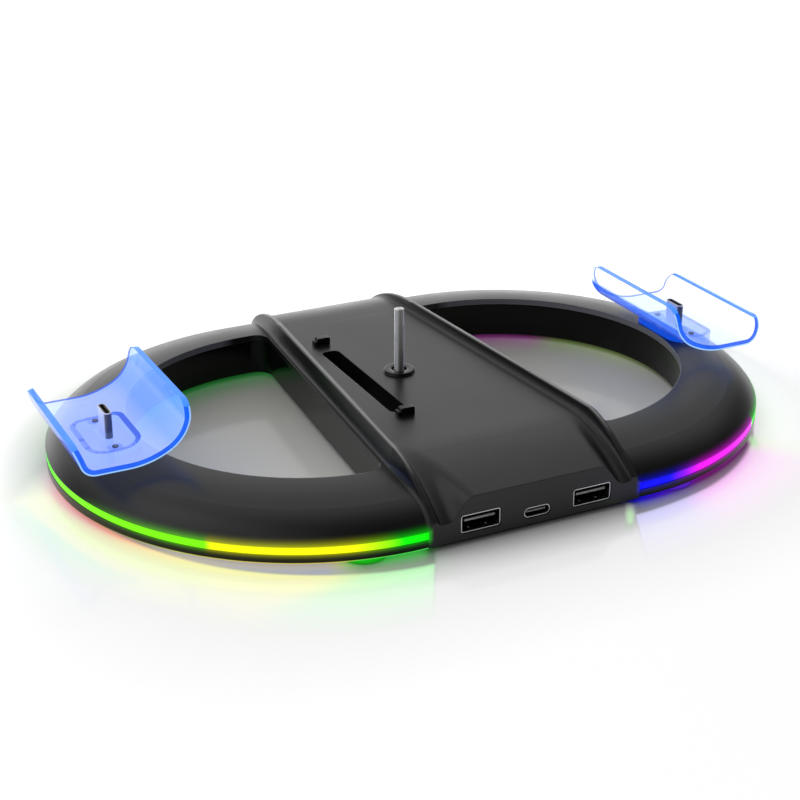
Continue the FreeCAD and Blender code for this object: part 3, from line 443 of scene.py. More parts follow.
# Emission of the clear plastic: painted glow that stands in for light scattered in it, dimmer on the
# underside
CLEAR_GLOW = 2.1
UNDERSIDE_GLOW = 0.25 * CLEAR_GLOW
UNDERSIDE_Z = (22.0 * MM, 25.5 * MM)
WALL_Z = (19.5 * MM, 25.0 * MM)
OUTER_WALL_X = (117.0 * MM, 120.5 * MM)
INNER_WALL_X = (90.5 * MM, 93.5 * MM)
SHADE_Z = (27.8 * MM, 29.4 * MM)
SLANT = (0.66, 0.95)
MARK_ALPHA = 0.90
MARKS_Z = (20.5 * MM, 22.5 * MM)
MARK_SOFT = 0.3 * MM
WALL_MARK = 0.60
WALL_MARK_SOFT = 0.25 * MM
POST_MARK = 0.5
POST_MARK_SOFT = 0.2 * MM
POST_MARK_RADIUS = POST_OUTER - 0.9 * MM
INSIDE_MARK = 0.20
HOLDER_MARK = 0.42
THIN_X = (PEDESTAL_X - 7.5 * MM, PEDESTAL_X - 4.0 * MM)


def pedestal_distances(tree, x, y):
    """Distances from the rounded outline of a pedestal, negative inside it, and from its nearer post."""
    across = absolute(tree, difference(tree, absolute(tree, x), PEDESTAL_X))
    along = absolute(tree, difference(tree, y, CRADLE_Y))
    past = []
    for value, half in ((across, PEDESTAL_WIDTH / 2), (along, PEDESTAL_LENGTH / 2)):
        past.append(difference(tree, value, half - PEDESTAL_CORNER))
    outer = hypotenuse(tree, *[largest(tree, value, 0.0) for value in past])
    inner = math_node(tree, "MINIMUM", largest(tree, *past), 0.0)
    whole = difference(tree, total(tree, outer, inner), PEDESTAL_CORNER)
    return whole, hypotenuse(tree, across, difference(tree, along, POST_SPREAD))


def foot_marks(tree, x, y, z):
    """Darker marks of the pedestal, its posts and the plug's holder, seen through the trough."""
    whole, post = pedestal_distances(tree, x, y)
    wall = product(tree, band(tree, whole, -PEDESTAL_WALL, -MARK_SOFT, WALL_MARK_SOFT), WALL_MARK)
    hole = product(tree, band(tree, post, POST_BORE, POST_MARK_RADIUS, POST_MARK_SOFT), POST_MARK)
    inside = ranged(tree, whole, -MARK_SOFT, MARK_SOFT, INSIDE_MARK, 0.0)
    across = absolute(tree, difference(tree, absolute(tree, x), HOLDER_X))
    along = absolute(tree, difference(tree, y, CRADLE_Y))
    off_holder = largest(tree, difference(tree, across, HOLDER_HALF_WIDTH),
                         difference(tree, along, HOLDER_HALF_LENGTH))
    holder = ranged(tree, off_holder, -MARK_SOFT, MARK_SOFT, HOLDER_MARK, 0.0)
    return product(tree, largest(tree, wall, hole, inside, holder), fall(tree, z, *MARKS_Z))


def clear_finish(tree, shader, low, high):
    """Smooth finish of the clear plastic, with a roughness between two values."""
    add_rough(tree, shader, CLEAR_ROUGH_CELLS, low, high)
    add_grain(tree, shader, CLEAR_GRAIN_CELLS, CLEAR_GRAIN_DEPTH, strength=CLEAR_GRAIN_STRENGTH)


def clear_trough(name, floor, wall, outer, shade):
    """Clear plastic of a trough, from (colour, alpha) of its floor, inner wall, outer wall and low shade; its
    colour is a painted glow.
    """
    material, tree, shader = new_material(name)
    settings(shader, IOR=CLEAR_IOR, Specular_IOR_Level=0.3)
    add_tint(tree, shader, CLEAR_TINT_CELLS, CLEAR_DARK, CLEAR_LIGHT)
    view = tree.nodes.new("ShaderNodeLayerWeight")
    slant = rise(tree, view.outputs["Facing"], *SLANT, smooth=True)
    x, y, z = place_parts(tree)
    from_middle = absolute(tree, x)
    up_wall = rise(tree, z, *WALL_Z)
    out = rise(tree, from_middle, *OUTER_WALL_X)
    low_in = product(tree, fall(tree, from_middle, *INNER_WALL_X), fall(tree, z, *SHADE_Z))
    marked = largest(tree, slant, foot_marks(tree, x, y, z))
    colour = blend(tree, out, blend(tree, up_wall, floor[0], wall[0]), outer[0])
    colour = blend(tree, marked, blend(tree, low_in, colour, shade[0]), DEEP_BLUE)
    tree.links.new(colour, shader.inputs["Emission Color"])
    alpha = ranged(tree, up_wall, 0.0, 1.0, floor[1], wall[1])
    for factor, value in ((out, outer[1]), (low_in, shade[1]), (marked, MARK_ALPHA)):
        alpha = total(tree, alpha, product(tree, difference(tree, value, alpha), factor))
    tree.links.new(alpha, shader.inputs["Alpha"])
    face = tree.nodes.new("ShaderNodeNewGeometry")
    # Painted glow, dimmer low on the underside, full where the inner side is seen
    underside = ranged(tree, z, *UNDERSIDE_Z, UNDERSIDE_GLOW, CLEAR_GLOW)
    from_inside = product(tree, face.outputs["Backfacing"], CLEAR_GLOW)
    tree.links.new(largest(tree, underside, from_inside), shader.inputs["Emission Strength"])
    clear_finish(tree, shader, 0.04, 0.08)
    return material


def clear_edge(name, dark, light, glow, alpha, rough, specular=0.15):
    """Edge or thick part of the clear plastic, where its blue runs deep; its colour is a painted glow."""
    material, tree, shader = new_material(name)
    settings(shader, IOR=CLEAR_IOR, Specular_IOR_Level=specular, Base_Color=(*CLEAR_DARK, 1), Alpha=alpha,
             Emission_Strength=glow)
    colour = colour_ramp(tree, object_noise(tree, CLEAR_EDGE_CELLS), [(0.35, dark), (0.65, light)])
    tree.links.new(colour, shader.inputs["Emission Color"])
    clear_finish(tree, shader, *rough)
    return material


def thin_out(material, near_alpha, far_alpha):
    """Clearer plastic on the outer part of a pedestal."""
    tree = material.node_tree
    x, _, _ = place_parts(tree)
    alpha = ranged(tree, absolute(tree, x), *THIN_X, near_alpha, far_alpha)
    tree.links.new(alpha, shader_of(material).inputs["Alpha"])


# Materials

satin_black = moulded_plastic("satin_black", (0.0045, 0.0045, 0.0048), (0.006, 0.006, 0.0064), (0.30, 0.36),
                              5200.0, 0.008 * MM, specular=0.42)
# Painted glow from the strips on the black plastic beside them
paint_strip_glow(satin_black, 2.6 * MM, 0.42, STRIP_STOPS)
# Painted highlight on the lip round the openings
paint_lip_highlight(satin_black, (0.20, 0.20, 0.22))
# Painted highlight along the crests of the ribs
paint_crest_highlight(satin_black, (0.30, 0.30, 0.31))
gloss_black = moulded_plastic("gloss_black", (0.002, 0.002, 0.002), (0.003, 0.003, 0.003), (0.12, 0.18),
                              900.0, 0.003 * MM, specular=0.22)
# Painted glow beside the strips, and a painted coloured line along the cover's bottom edge
paint_strip_glow(gloss_black, 2.0 * MM, 0.26, STRIP_STOPS, painted_edge_line=0.85)
collar_rubber = moulded_plastic("collar_rubber", (0.006, 0.006, 0.006), (0.009, 0.009, 0.009), (0.16, 0.24),
                                2500.0, 0.005 * MM)
foot_rubber = moulded_plastic("foot_rubber", (0.010, 0.010, 0.010), (0.018, 0.018, 0.018), (0.5, 0.65),
                              3000.0, 0.02 * MM)
# Painted glow from the strips on the rubber feet
paint_strip_glow(foot_rubber, 9.0 * MM, 1.5, FOOT_STOPS)
tongue_black = moulded_plastic("tongue_black", (0.004, 0.004, 0.004), (0.007, 0.007, 0.007), (0.4, 0.5),
                               3000.0, 0.008 * MM, specular=0.05)
tongue_edge = moulded_plastic("tongue_edge", (0.66, 0.66, 0.66), (0.74, 0.74, 0.74), (0.35, 0.45),
                              3000.0, 0.006 * MM)
plug_plastic = moulded_plastic("plug_plastic", (0.004, 0.004, 0.005), (0.006, 0.006, 0.007), (0.4, 0.55),
                               3000.0, 0.008 * MM)
holder_plastic = moulded_plastic("holder_plastic", (0.10, 0.13, 0.30), (0.14, 0.17, 0.36), (0.3, 0.4),
                                 3000.0, 0.008 * MM)
lead_jacket = moulded_plastic("lead_jacket", (0.012, 0.012, 0.012), (0.02, 0.02, 0.02), (0.5, 0.6),
                              2000.0, 0.01 * MM)
lamp_strip = moulded_plastic("lamp_strip", (0.72, 0.72, 0.70), (0.8, 0.8, 0.78), (0.4, 0.5),
                             1500.0, 0.01 * MM)
circuit_board = moulded_plastic("circuit_board", (0.01, 0.10, 0.035), (0.015, 0.14, 0.05), (0.2, 0.3),
                                700.0, 0.01 * MM)
plated_steel = plated_metal("plated_steel", (0.56, 0.56, 0.57), (0.24, 0.34), 2600.0)
plug_steel = plated_metal("plug_steel", (0.86, 0.86, 0.88), (0.30, 0.40), 2600.0, metallic=0.45)
# Painted shade on the front end of the plugs
paint_nose_shade(plug_steel, (0.10, 0.10, 0.13))
screw_steel = plated_metal("screw_steel", (0.92, 0.92, 0.92), (0.40, 0.44), 3200.0, turned_marks=1.0)
dark_steel = plated_metal("dark_steel", (0.06, 0.07, 0.14), (0.35, 0.45), 2600.0)
clear_face = {
    -1: clear_trough("clear_face_left", ((0.31, 0.43, 1.0), 0.46), ((0.075, 0.27, 1.0), 0.48),
                     ((0.28, 0.46, 1.0), 0.26), ((0.17, 0.35, 1.0), 0.47)),
    1: clear_trough("clear_face_right", ((0.24, 0.42, 1.0), 0.26), ((0.30, 0.47, 1.0), 0.14),
                    ((0.30, 0.48, 1.0), 0.10), ((0.003, 0.060, 0.42), 0.86)),
}
clear_inside = clear_edge("clear_inside", (0.30, 0.46, 1.0), (0.34, 0.50, 1.0), 1.6, 0.05, (0.03, 0.06),
                          specular=0.5)
clear_rim = clear_edge("clear_rim", (0.001, 0.100, 0.86), (0.003, 0.125, 0.92), 1.0, 0.94, (0.10, 0.18))
# Pale painted highlight line on the outer strip of the front rim
clear_highlight_line = clear_edge("clear_highlight_line", (0.30, 0.60, 1.0), (0.40, 0.68, 1.0), 1.0, 0.85, (0.06, 0.12))
# Lighter painted highlight colour where the rim faces up
clear_brim = clear_edge("clear_brim", (0.050, 0.265, 0.98), (0.060, 0.290, 0.98), 1.0, 0.90, (0.06, 0.12))
clear_back = clear_edge("clear_back", (0.025, 0.11, 0.72), (0.035, 0.13, 0.78), 1.0, 0.80, (0.06, 0.12))
clear_foot = clear_edge("clear_foot", (0.003, 0.066, 0.66), (0.005, 0.086, 0.72), 0.9, 0.88, (0.10, 0.18))
thin_out(clear_foot, 0.90, 0.30)
STRIP_GLOW = 1.1
strip_glow = {-1: glowing_strip("left_glow", -1, STRIP_GLOW), 1: glowing_strip("right_glow", 1, STRIP_GLOW)}

SLOT_MATERIALS = {
    "black_shell": satin_black,
    "black_cover": gloss_black,
    "lamp_strip": lamp_strip,
    "circuit_board": circuit_board,
    "plated_steel": plated_steel,
    "socket_plastic": tongue_black,
    "screw_steel": screw_steel,
    "collar_rubber": collar_rubber,
    "foot_rubber": foot_rubber,
    "clear_blue": clear_rim,
    "plug_plastic": plug_plastic,
    "lead_jacket": lead_jacket,
    "light_guide": strip_glow[-1],
}
NODE_MATERIALS = {"plug_holder": holder_plastic, "cradle_screws": dark_steel, "plug_shell": plug_steel}
for part in frame["record"]["subparts"]:
    shown = nodes[part["node"]].data
    shown.materials.clear()
    own = next((look for start, look in NODE_MATERIALS.items() if part["node"].startswith(start)), None)
    shown.materials.append(own or SLOT_MATERIALS[part["material_slot"]])


# Mesh helpers

ROUND_SEGMENTS = 3
ROUND_ANGLE = math.radians(40.0)


def add_piece(name, mesh, materials, replaced=(), smooth=True):
    """Object from a bmesh, riding on the stand."""
    bmesh.ops.recalc_face_normals(mesh, faces=mesh.faces)
    data = bpy.data.meshes.new(name)
    mesh.to_mesh(data)
    mesh.free()
    for material in materials:
        data.materials.append(material)
    if smooth:
        data.shade_smooth()
    piece = bpy.data.objects.new(name, data)
    bpy.context.scene.collection.objects.link(piece)
    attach(piece, "stand")
    for node in replaced:
        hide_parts(node)
    return piece


def round_edges(piece, width):
    """Small moulded radius on every sharp edge."""
    bevel = piece.modifiers.new("round", "BEVEL")
    bevel.width = width
    bevel.segments = ROUND_SEGMENTS
    bevel.limit_method = "ANGLE"
    bevel.angle_limit = ROUND_ANGLE
    bevel.harden_normals = True


def bridge(mesh, first, second, closed=True):
    """Quads between two rows of vertices."""
    count = len(first)
    faces = []
    for i in range(count if closed else count - 1):
        j = (i + 1) % count
        faces.append(mesh.faces.new((first[i], first[j], second[j], second[i])))
    return faces


def cap_ends(mesh, rows):
    """Close a run of rows with a face at each end."""
    mesh.faces.new(rows[0])
    mesh.faces.new(rows[-1])


def round_plan(centre, radius, steps=20):
    """Points round a circle."""
    points = []
    for i in range(steps):
        turn = 2 * math.pi * i / steps
        points.append((centre[0] + radius * math.cos(turn), centre[1] + radius * math.sin(turn)))
    return points


def rounded_plan(centre, width, length, corner, steps=6):
    """Points round a rectangle with rounded corners."""
    points = []
    for quarter, (side_x, side_y) in enumerate(QUARTERS):
        middle_x = centre[0] + side_x * (width / 2 - corner)
        middle_y = centre[1] + side_y * (length / 2 - corner)
        for i in range(steps + 1):
            turn = math.pi / 2 * (quarter + i / steps)
            points.append((middle_x + corner * math.cos(turn), middle_y + corner * math.sin(turn)))
    return points


def turned(mesh, outline, centre, steps):
    """Surface turned about an upright axis from (radius, height) points; radius 0 closes an end."""
    rows = []
    for radius, height in outline:
        if radius == 0:
            rows.append([mesh.verts.new((*centre, height))])
        else:
            rows.append([mesh.verts.new((x, y, height)) for x, y in round_plan(centre, radius, steps)])
    for first, second in zip(rows, rows[1:]):
        if len(first) == 1 or len(second) == 1:
            tip = first[0] if len(first) == 1 else second[0]
            ring = second if len(first) == 1 else first
            for i in range(steps):
                mesh.faces.new((tip, ring[i], ring[(i + 1) % steps]))
        else:
            bridge(mesh, first, second)
    return [spot for row in rows for spot in row]


def in_metres(points, base=0.0):
    """(radius, height) points given in millimetres, raised to a base."""
    return [(radius * MM, base + height * MM) for radius, height in points]


# Light guides: a milky strip round each end, its outer edges rounded

STRIP_DEPTH = 2.6 * MM
STRIP_EDGE = 0.35 * MM
STRIP_SINK = 0.05 * MM
STRIP_STEPS = 96
EDGE_STEPS = 4


def strip_station(side, share):
    """Centre and outward direction at a share of the way round an end."""
    lead_in = STRAIGHT_HALF - STRIP_END_X
    whole = 2 * lead_in + math.pi * END_RADIUS
    run = share * whole
    if run < lead_in:
        return (side * (STRIP_END_X + run), 0.0), (0.0, -1.0)
    if run > whole - lead_in:
        return (side * (STRIP_END_X + whole - run), 0.0), (0.0, 1.0)
    turn = (run - lead_in) / END_RADIUS
    return (side * STRAIGHT_HALF, 0.0), (side * math.sin(turn), -math.cos(turn))


def strip_section():
    """Section of the strip as (radius, height)."""
    outer = END_RADIUS - STRIP_SINK
    inner = END_RADIUS - STRIP_DEPTH
    low, high = [], []
    for i in range(EDGE_STEPS + 1):
        turn = math.pi / 2 * i / EDGE_STEPS
        back = STRIP_EDGE * (1 - math.sin(turn))
        up = STRIP_EDGE * (1 - math.cos(turn))
        low.append((outer - back, STRIP_LOW + up))
        high.append((outer - back, STRIP_HIGH - up))
    return [(inner, STRIP_LOW)] + low + high[::-1] + [(inner, STRIP_HIGH)]


for label, side in SIDES:
    mesh = bmesh.new()
    run_layer = mesh.loops.layers.uv.new("run")
    share_of = {}
    rows = []
    for i in range(STRIP_STEPS + 1):
        share = i / STRIP_STEPS
        centre, out = strip_station(side, share)
        row = []
        for radius, height in strip_section():
            spot = mesh.verts.new((centre[0] + out[0] * radius, centre[1] + out[1] * radius, height))
            share_of[spot] = share
            row.append(spot)
        rows.append(row)
    for first, second in zip(rows, rows[1:]):
        bridge(mesh, first, second)
    cap_ends(mesh, rows)
    for face in mesh.faces:
        for loop in face.loops:
            loop[run_layer].uv = (share_of[loop.vert], 0.5)
    add_piece("light_strip_" + label, mesh, [strip_glow[side]], ["light_guide_" + label])


# Cradles: a clear trough, its broad faces pale and its rim deep blue

CRADLE_HALF_LENGTH = 27.5 * MM
CRADLE_WALL = 2.0 * MM
CRADLE_CORNER = 5.5 * MM
CRADLE_EDGE = 0.25 * MM
CRADLE_FLOOR_X = 107.1 * MM
CRADLE_FLOOR_Z = 15.67 * MM + FOOT
CRADLE_SWEEP = 27.0 * MM
CRADLE_STEP = 0.8 * MM
CRADLE_COLUMNS = 24
CORNER_STEPS = 10

# Outer line of the trough as runs of (straight length, radius, turn), from its inner brim
INNER_BEND = math.radians(53.8)
FLOOR_BEND = math.radians(30.0)
OUTER_BEND = math.radians(71.5)
CRADLE_HEADING = -(INNER_BEND + FLOOR_BEND)
CRADLE_MOVES = [
    (3.7 * MM, 0.0, 0.0),
    (0.0, 13.5 * MM, INNER_BEND),
    (0.0, CRADLE_SWEEP, FLOOR_BEND),
    (9.9 * MM, 0.0, 0.0),
    (0.0, 5.0 * MM, OUTER_BEND),
    (5.9 * MM, 0.0, 0.0),
]
MOVE_LENGTHS = [length if radius == 0 else radius * turn for length, radius, turn in CRADLE_MOVES]

# Looks of the trough's faces, and of the three strips of its rim from the outer face to the inner one. Where
# the rim faces up, and on the inner face by the brim, it takes a lighter painted highlight colour (BRIM);
# where it faces front, its outer strip takes a pale painted highlight line (LINE).
FACE, INSIDE, RIM, LINE, BRIM, BACK = range(6)
RIM_LINES = (0.5 * MM, 1.35 * MM)
FRONT_STRIPS = (LINE, RIM, RIM)
BACK_STRIPS = (FACE, FACE, BACK)
BRIM_STRIPS = (BRIM, BRIM, BRIM)
BRIM_ROWS = 4
BRIM_NORMAL = 0.75


def trough_point(distance):
    """Place and heading at a distance along the outer line of the trough, from its first brim."""
    x, z, heading = 0.0, 0.0, CRADLE_HEADING
    for (_, radius, _), reach in zip(CRADLE_MOVES, MOVE_LENGTHS):
        part = min(distance, reach)
        if radius == 0:
            x += math.cos(heading) * part
            z += math.sin(heading) * part
        else:
            bend = part / radius
            x += radius * (math.sin(heading + bend) - math.sin(heading))
            z -= radius * (math.cos(heading + bend) - math.cos(heading))
            heading += bend
        distance -= part
    return x, z, heading


def trough_stations():
    """Stations along the trough as (distance from the nearer brim, x, z, heading)."""
    whole = sum(MOVE_LENGTHS)
    marks = []
    for i in range(CORNER_STEPS):
        near = CRADLE_CORNER * (1 - math.cos(math.pi / 2 * i / CORNER_STEPS))
        marks += [near, whole - near]
    middle = whole - 2 * CRADLE_CORNER
    count = int(middle / CRADLE_STEP)
    marks += [CRADLE_CORNER + middle * i / count for i in range(count + 1)]
    floor_x, floor_z, _ = trough_point(sum(MOVE_LENGTHS[:3]))
    stations = []
    for mark in sorted(marks):
        x, z, heading = trough_point(mark)
        from_brim = min(mark, whole - mark)
        stations.append((from_brim, x + CRADLE_FLOOR_X - floor_x, z + CRADLE_FLOOR_Z - floor_z, heading))
    return stations


def trough_layers(mesh, side):
    """Rows of vertices of the outer and the inner face of a trough."""
    outer, inner = [], []
    for from_brim, x, z, heading in trough_stations():
        cut = max(0.0, CRADLE_CORNER - from_brim)
        half = CRADLE_HALF_LENGTH - CRADLE_CORNER + math.sqrt(CRADLE_CORNER ** 2 - cut ** 2)
        for inset, rows in ((0.0, outer), (CRADLE_WALL, inner)):
            spot_x = side * (x - math.sin(heading) * inset)
            spot_z = z + math.cos(heading) * inset
            row = []
            for i in range(CRADLE_COLUMNS + 1):
                row.append(mesh.verts.new((spot_x, CRADLE_Y + half * (2 * i / CRADLE_COLUMNS - 1), spot_z)))
            rows.append(row)
    return outer, inner


def border(rows):
    """Vertices round the edge of a grid."""
    left = [row[0] for row in rows]
    right = [row[-1] for row in rows]
    return rows[0][:-1] + right[:-1] + rows[-1][:0:-1] + left[:0:-1]


def strip_looks(normal):
    """Looks of the rim's three strips where it faces one way."""
    if normal.z > BRIM_NORMAL:
        return BRIM_STRIPS
    return FRONT_STRIPS if normal.y < 0.0 else BACK_STRIPS


for label, side in SIDES:
    mesh = bmesh.new()
    layers = trough_layers(mesh, side)
    for look, rows in zip((FACE, INSIDE), layers):
        for number, (first, second) in enumerate(zip(rows, rows[1:])):
            by_brim = look == INSIDE and number >= len(rows) - 1 - BRIM_ROWS
            for face in bridge(mesh, first, second, closed=False):
                face.material_index = BRIM if by_brim else look
    outer_edge, inner_edge = [border(rows) for rows in layers]
    edges = [outer_edge]
    for line in RIM_LINES:
        share = line / CRADLE_WALL
        edges.append([mesh.verts.new(a.co.lerp(b.co, share)) for a, b in zip(outer_edge, inner_edge)])
    edges.append(inner_edge)
    strips = [bridge(mesh, first, second) for first, second in zip(edges, edges[1:])]
    bmesh.ops.recalc_face_normals(mesh, faces=mesh.faces)
    for number, faces in enumerate(strips):
        for face in faces:
            face.material_index = strip_looks(face.normal)[number]
    materials = [clear_face[side], clear_inside, clear_rim, clear_highlight_line, clear_brim, clear_back]
    trough = add_piece("cradle_trough_" + label, mesh, materials, ["cradle_" + label])
    round_edges(trough, CRADLE_EDGE)


# Pedestal of each cradle: a rounded ring wall with two screw posts, its foot on the crown

CROWN_RADIUS = 58.0 * MM


def crown_z(x, y):
    """Height of the ring's crown, where the pedestal stands."""
    away = math.hypot(abs(x) - STRAIGHT_HALF, y) - OPENING_RADIUS
    return CROWN_EDGE_Z - CROWN_RADIUS + math.sqrt(CROWN_RADIUS ** 2 - max(away, 0.0) ** 2)


def trough_underside(x):
    """Height of the underside of the trough above the pedestal."""
    lean = max(0.0, CRADLE_FLOOR_X - abs(x))
    return CRADLE_FLOOR_Z + CRADLE_SWEEP - math.sqrt(CRADLE_SWEEP ** 2 - lean ** 2)


def wall_ring(mesh, outer, inner):
    """Upright wall between two outlines, from the crown up to the trough."""
    rings = []
    for outline in (outer, inner):
        rings.append([mesh.verts.new((x, y, crown_z(x, y))) for x, y in outline])
        rings.append([mesh.verts.new((x, y, trough_underside(x))) for x, y in outline])
    bridge(mesh, rings[0], rings[1])
    bridge(mesh, rings[2], rings[3])
    bridge(mesh, rings[0], rings[2])
    bridge(mesh, rings[1], rings[3])


for label, side in SIDES:
    mesh = bmesh.new()
    middle = (side * PEDESTAL_X, CRADLE_Y)
    both_walls = 2 * PEDESTAL_WALL
    wall_ring(mesh, rounded_plan(middle, PEDESTAL_WIDTH, PEDESTAL_LENGTH, PEDESTAL_CORNER),
              rounded_plan(middle, PEDESTAL_WIDTH - both_walls, PEDESTAL_LENGTH - both_walls,
                           PEDESTAL_CORNER - PEDESTAL_WALL))
    for y in (CRADLE_Y - POST_SPREAD, CRADLE_Y + POST_SPREAD):
        wall_ring(mesh, round_plan((middle[0], y), POST_OUTER), round_plan((middle[0], y), POST_BORE))
    add_piece("cradle_foot_" + label, mesh, [clear_foot], smooth=False)


# Collar round the console screw: a broad rounded disc over a thin flange

SCREW_PLACE = (-4.1 * MM, 0.0)
DECK_Z = 17.7 * MM + FOOT
COLLAR_STEPS = 64
COLLAR_POINTS = [(2.55, 0.0), (5.16, 0.0), (5.27, 0.05), (5.30, 0.13), (5.28, 0.22), (5.20, 0.28),
                 (5.02, 0.31), (4.96, 0.37), (5.02, 0.43), (5.09, 0.52), (5.10, 0.66), (5.06, 0.82),
                 (4.96, 0.93), (4.80, 0.985), (4.60, 1.0), (2.80, 1.0), (2.62, 0.95), (2.55, 0.82)]
mesh = bmesh.new()
rows = in_metres(COLLAR_POINTS, DECK_Z)
turned(mesh, rows + rows[:1], SCREW_PLACE, COLLAR_STEPS)
bmesh.ops.remove_doubles(mesh, verts=mesh.verts, dist=1e-7)
add_piece("collar_ring", mesh, [collar_rubber], ["screw_collar"])


# Feet: round pads with a soft edge and a shallow grip ring below

FOOT_X = 53.0 * MM
FOOT_Y = 75.5 * MM
FOOT_STEPS = 48
FOOT_POINTS = [(0.0, 0.12), (3.6, 0.12), (3.8, 0.1), (4.1, 0.0), (6.8, 0.0), (7.15, 0.08), (7.38, 0.28),
               (7.5, 0.6), (7.5, 1.9), (7.4, 2.0), (0.0, 2.0)]
for depth, y in (("front", -FOOT_Y), ("back", FOOT_Y)):
    for label, side in SIDES:
        mesh = bmesh.new()
        turned(mesh, in_metres(FOOT_POINTS), (side * FOOT_X, y), FOOT_STEPS)
        node = "foot_%s_%s" % (depth, label)
        add_piece("pad_%s_%s" % (depth, label), mesh, [foot_rubber], [node])


# Pale front edge on the tongue of each socket: bars with rounded edges, as (name, x, z, half length, height)

SOCKET_X = 19.07 * MM
BAR_FRONT = -84.0 * MM
BAR_BACK = -83.6 * MM
BAR_ROUND = 0.12 * MM
BAR_STEPS = 3
TONGUE_BARS = (
    ("tongue_bar_left", -SOCKET_X, 7.80 * MM, 5.1 * MM, 0.72 * MM),
    ("tongue_bar_right", SOCKET_X, 7.80 * MM, 5.1 * MM, 0.72 * MM),
    ("tongue_bar_inlet", 0.0, 5.83 * MM, 3.3 * MM, 0.5 * MM),
)
for name, centre_x, centre_z, half, height in TONGUE_BARS:
    mesh = bmesh.new()
    rows = []
    for x, inset in ((-half, BAR_ROUND), (BAR_ROUND - half, 0.0), (half - BAR_ROUND, 0.0), (half, BAR_ROUND)):
        front = BAR_FRONT + inset / 2
        section = rounded_plan(((front + BAR_BACK) / 2, centre_z), BAR_BACK - front, height - inset,
                               BAR_ROUND, BAR_STEPS)
        rows.append([mesh.verts.new((centre_x + x, y, z)) for y, z in section])
    for first, second in zip(rows, rows[1:]):
        bridge(mesh, first, second)
    cap_ends(mesh, rows)
    add_piece(name, mesh, [tongue_edge])


# Spring leaves on the floor of the two large sockets

SPRING_POINTS = [(0.0, 0.0), (1.0, 0.0), (0.92, 0.16), (0.70, 0.32), (0.40, 0.43), (0.0, 0.48)]
SPRING_SPREAD = 2.9 * MM
SPRING_Y = -81.7 * MM
SPRING_Z = 4.5 * MM
SPRING_STRETCH = (0.62, 1.15, 1.0)
SPRING_STEPS = 24
for label, side in SIDES:
    mesh = bmesh.new()
    for offset in (-SPRING_SPREAD, SPRING_SPREAD):
        leaf = turned(mesh, in_metres(SPRING_POINTS), (0.0, 0.0), SPRING_STEPS)
        bmesh.ops.scale(mesh, vec=SPRING_STRETCH, verts=leaf)
        bmesh.ops.translate(mesh, vec=(side * SOCKET_X + offset, SPRING_Y, SPRING_Z), verts=leaf)
    add_piece("socket_springs_" + label, mesh, [plated_steel])


# Floor: pale, with the strips' coloured light painted on it, and painted shade round the case and in the ring

FLOOR_HALF = 4.0
WHITE = (1.0, 1.0, 1.0)
FLOOR_GREY = (0.80, 0.80, 0.80)
# Floor colour inside the ring, from front to back: painted shade of the ring's walls, darker towards the back
RING_FRONT = (0.98, 0.96, 0.88)
RING_BACK = (0.60, 0.59, 0.53)
RING_FADE = (60.0 * MM, 80.0 * MM)
RING_DEPTH = (-50.0 * MM, 40.0 * MM)

# Colours of the painted light outside the case and inside the ring, by the share of the way round an end
FLOOR_STOPS = {
    -1: [(0.0, (0.34, 1.0, 0.34)), (0.06, (0.38, 1.0, 0.36)), (0.105, (0.98, 1.0, 0.26)),
         (0.23, (1.0, 1.0, 0.26)), (0.30, (1.0, 0.76, 0.28)), (0.35, (1.0, 0.22, 0.18)),
         (0.47, (1.0, 0.22, 0.20)), (0.55, (0.8, 1.0, 0.75)), (0.60, WHITE)],
    1: [(0.0, (0.60, 0.58, 1.0)), (0.05, (0.62, 0.56, 1.0)), (0.085, (1.0, 0.50, 0.98)),
        (0.20, (1.0, 0.55, 0.96)), (0.235, (0.92, 1.0, 0.75)), (0.26, WHITE), (1.0, WHITE)],
}
INNER_GREEN = (0.06, 0.8, 0.10)
INNER_STOPS = {
    -1: [(0.0, WHITE), (0.55, (0.5, 1.0, 0.5)), (0.70, INNER_GREEN), (1.0, INNER_GREEN)],
    1: [(0.0, WHITE), (0.45, (0.62, 0.9, 0.25)), (0.74, (0.55, 0.85, 0.20)), (0.79, (0.9, 0.12, 0.75)),
        (1.0, (0.8, 0.12, 0.75))],
}

# Painted light outside the case: where it starts, how it leans, drifts and fades
FLOOR_GLOW = 0.56
GLOW_LEAN = 0.52
GLOW_TURN = 22.0 * MM
GLOW_START = (4.6 * MM, 6.6 * MM)
GLOW_END_X = (33.4 * MM, 35.0 * MM)
GLOW_END_SHARE = (0.50, 0.60)
GLOW_DIM = (16.0 * MM, 60.0 * MM, 1.0, 0.6)
DRIFT_SHARE = (0.20, 0.42, 0.15, 1.0)
DRIFT_AWAY = (6.0 * MM, 22.0 * MM, 0.0, 0.40)
FADE_AWAY = (6.0 * MM, 34.0 * MM)
FADE_POWER = 0.75

# White lift of the floor away from the case; held back near the case, which leaves a painted shadow round it
FLOOR_LIFT = 0.56
LIFT_NEAR = (END_RADIUS - 3.0 * MM, END_RADIUS + 18.0 * MM, 0.0, 0.80)
LIFT_FAR = (END_RADIUS + 18.0 * MM, END_RADIUS + 60.0 * MM, 0.0, 0.20)
LIFT_BESIDE = (0.30, 0.55, 1.0, 1.35)

# Small painted streaks of green light in front of the right strip
SPOT_COLOUR = (0.50, 1.0, 0.42)
SPOT_HALF_WIDTH = 2.6 * MM
SPOT_START = 1.0 * MM
SPOT_FULL = 0.4
SPOT_FADE = 0.6
GLOW_SPOTS = (
    ((30.8 * MM, -88.4 * MM), (23.7 * MM, -99.2 * MM)),
    ((96.6 * MM, -61.0 * MM), (91.6 * MM, -71.0 * MM)),
)

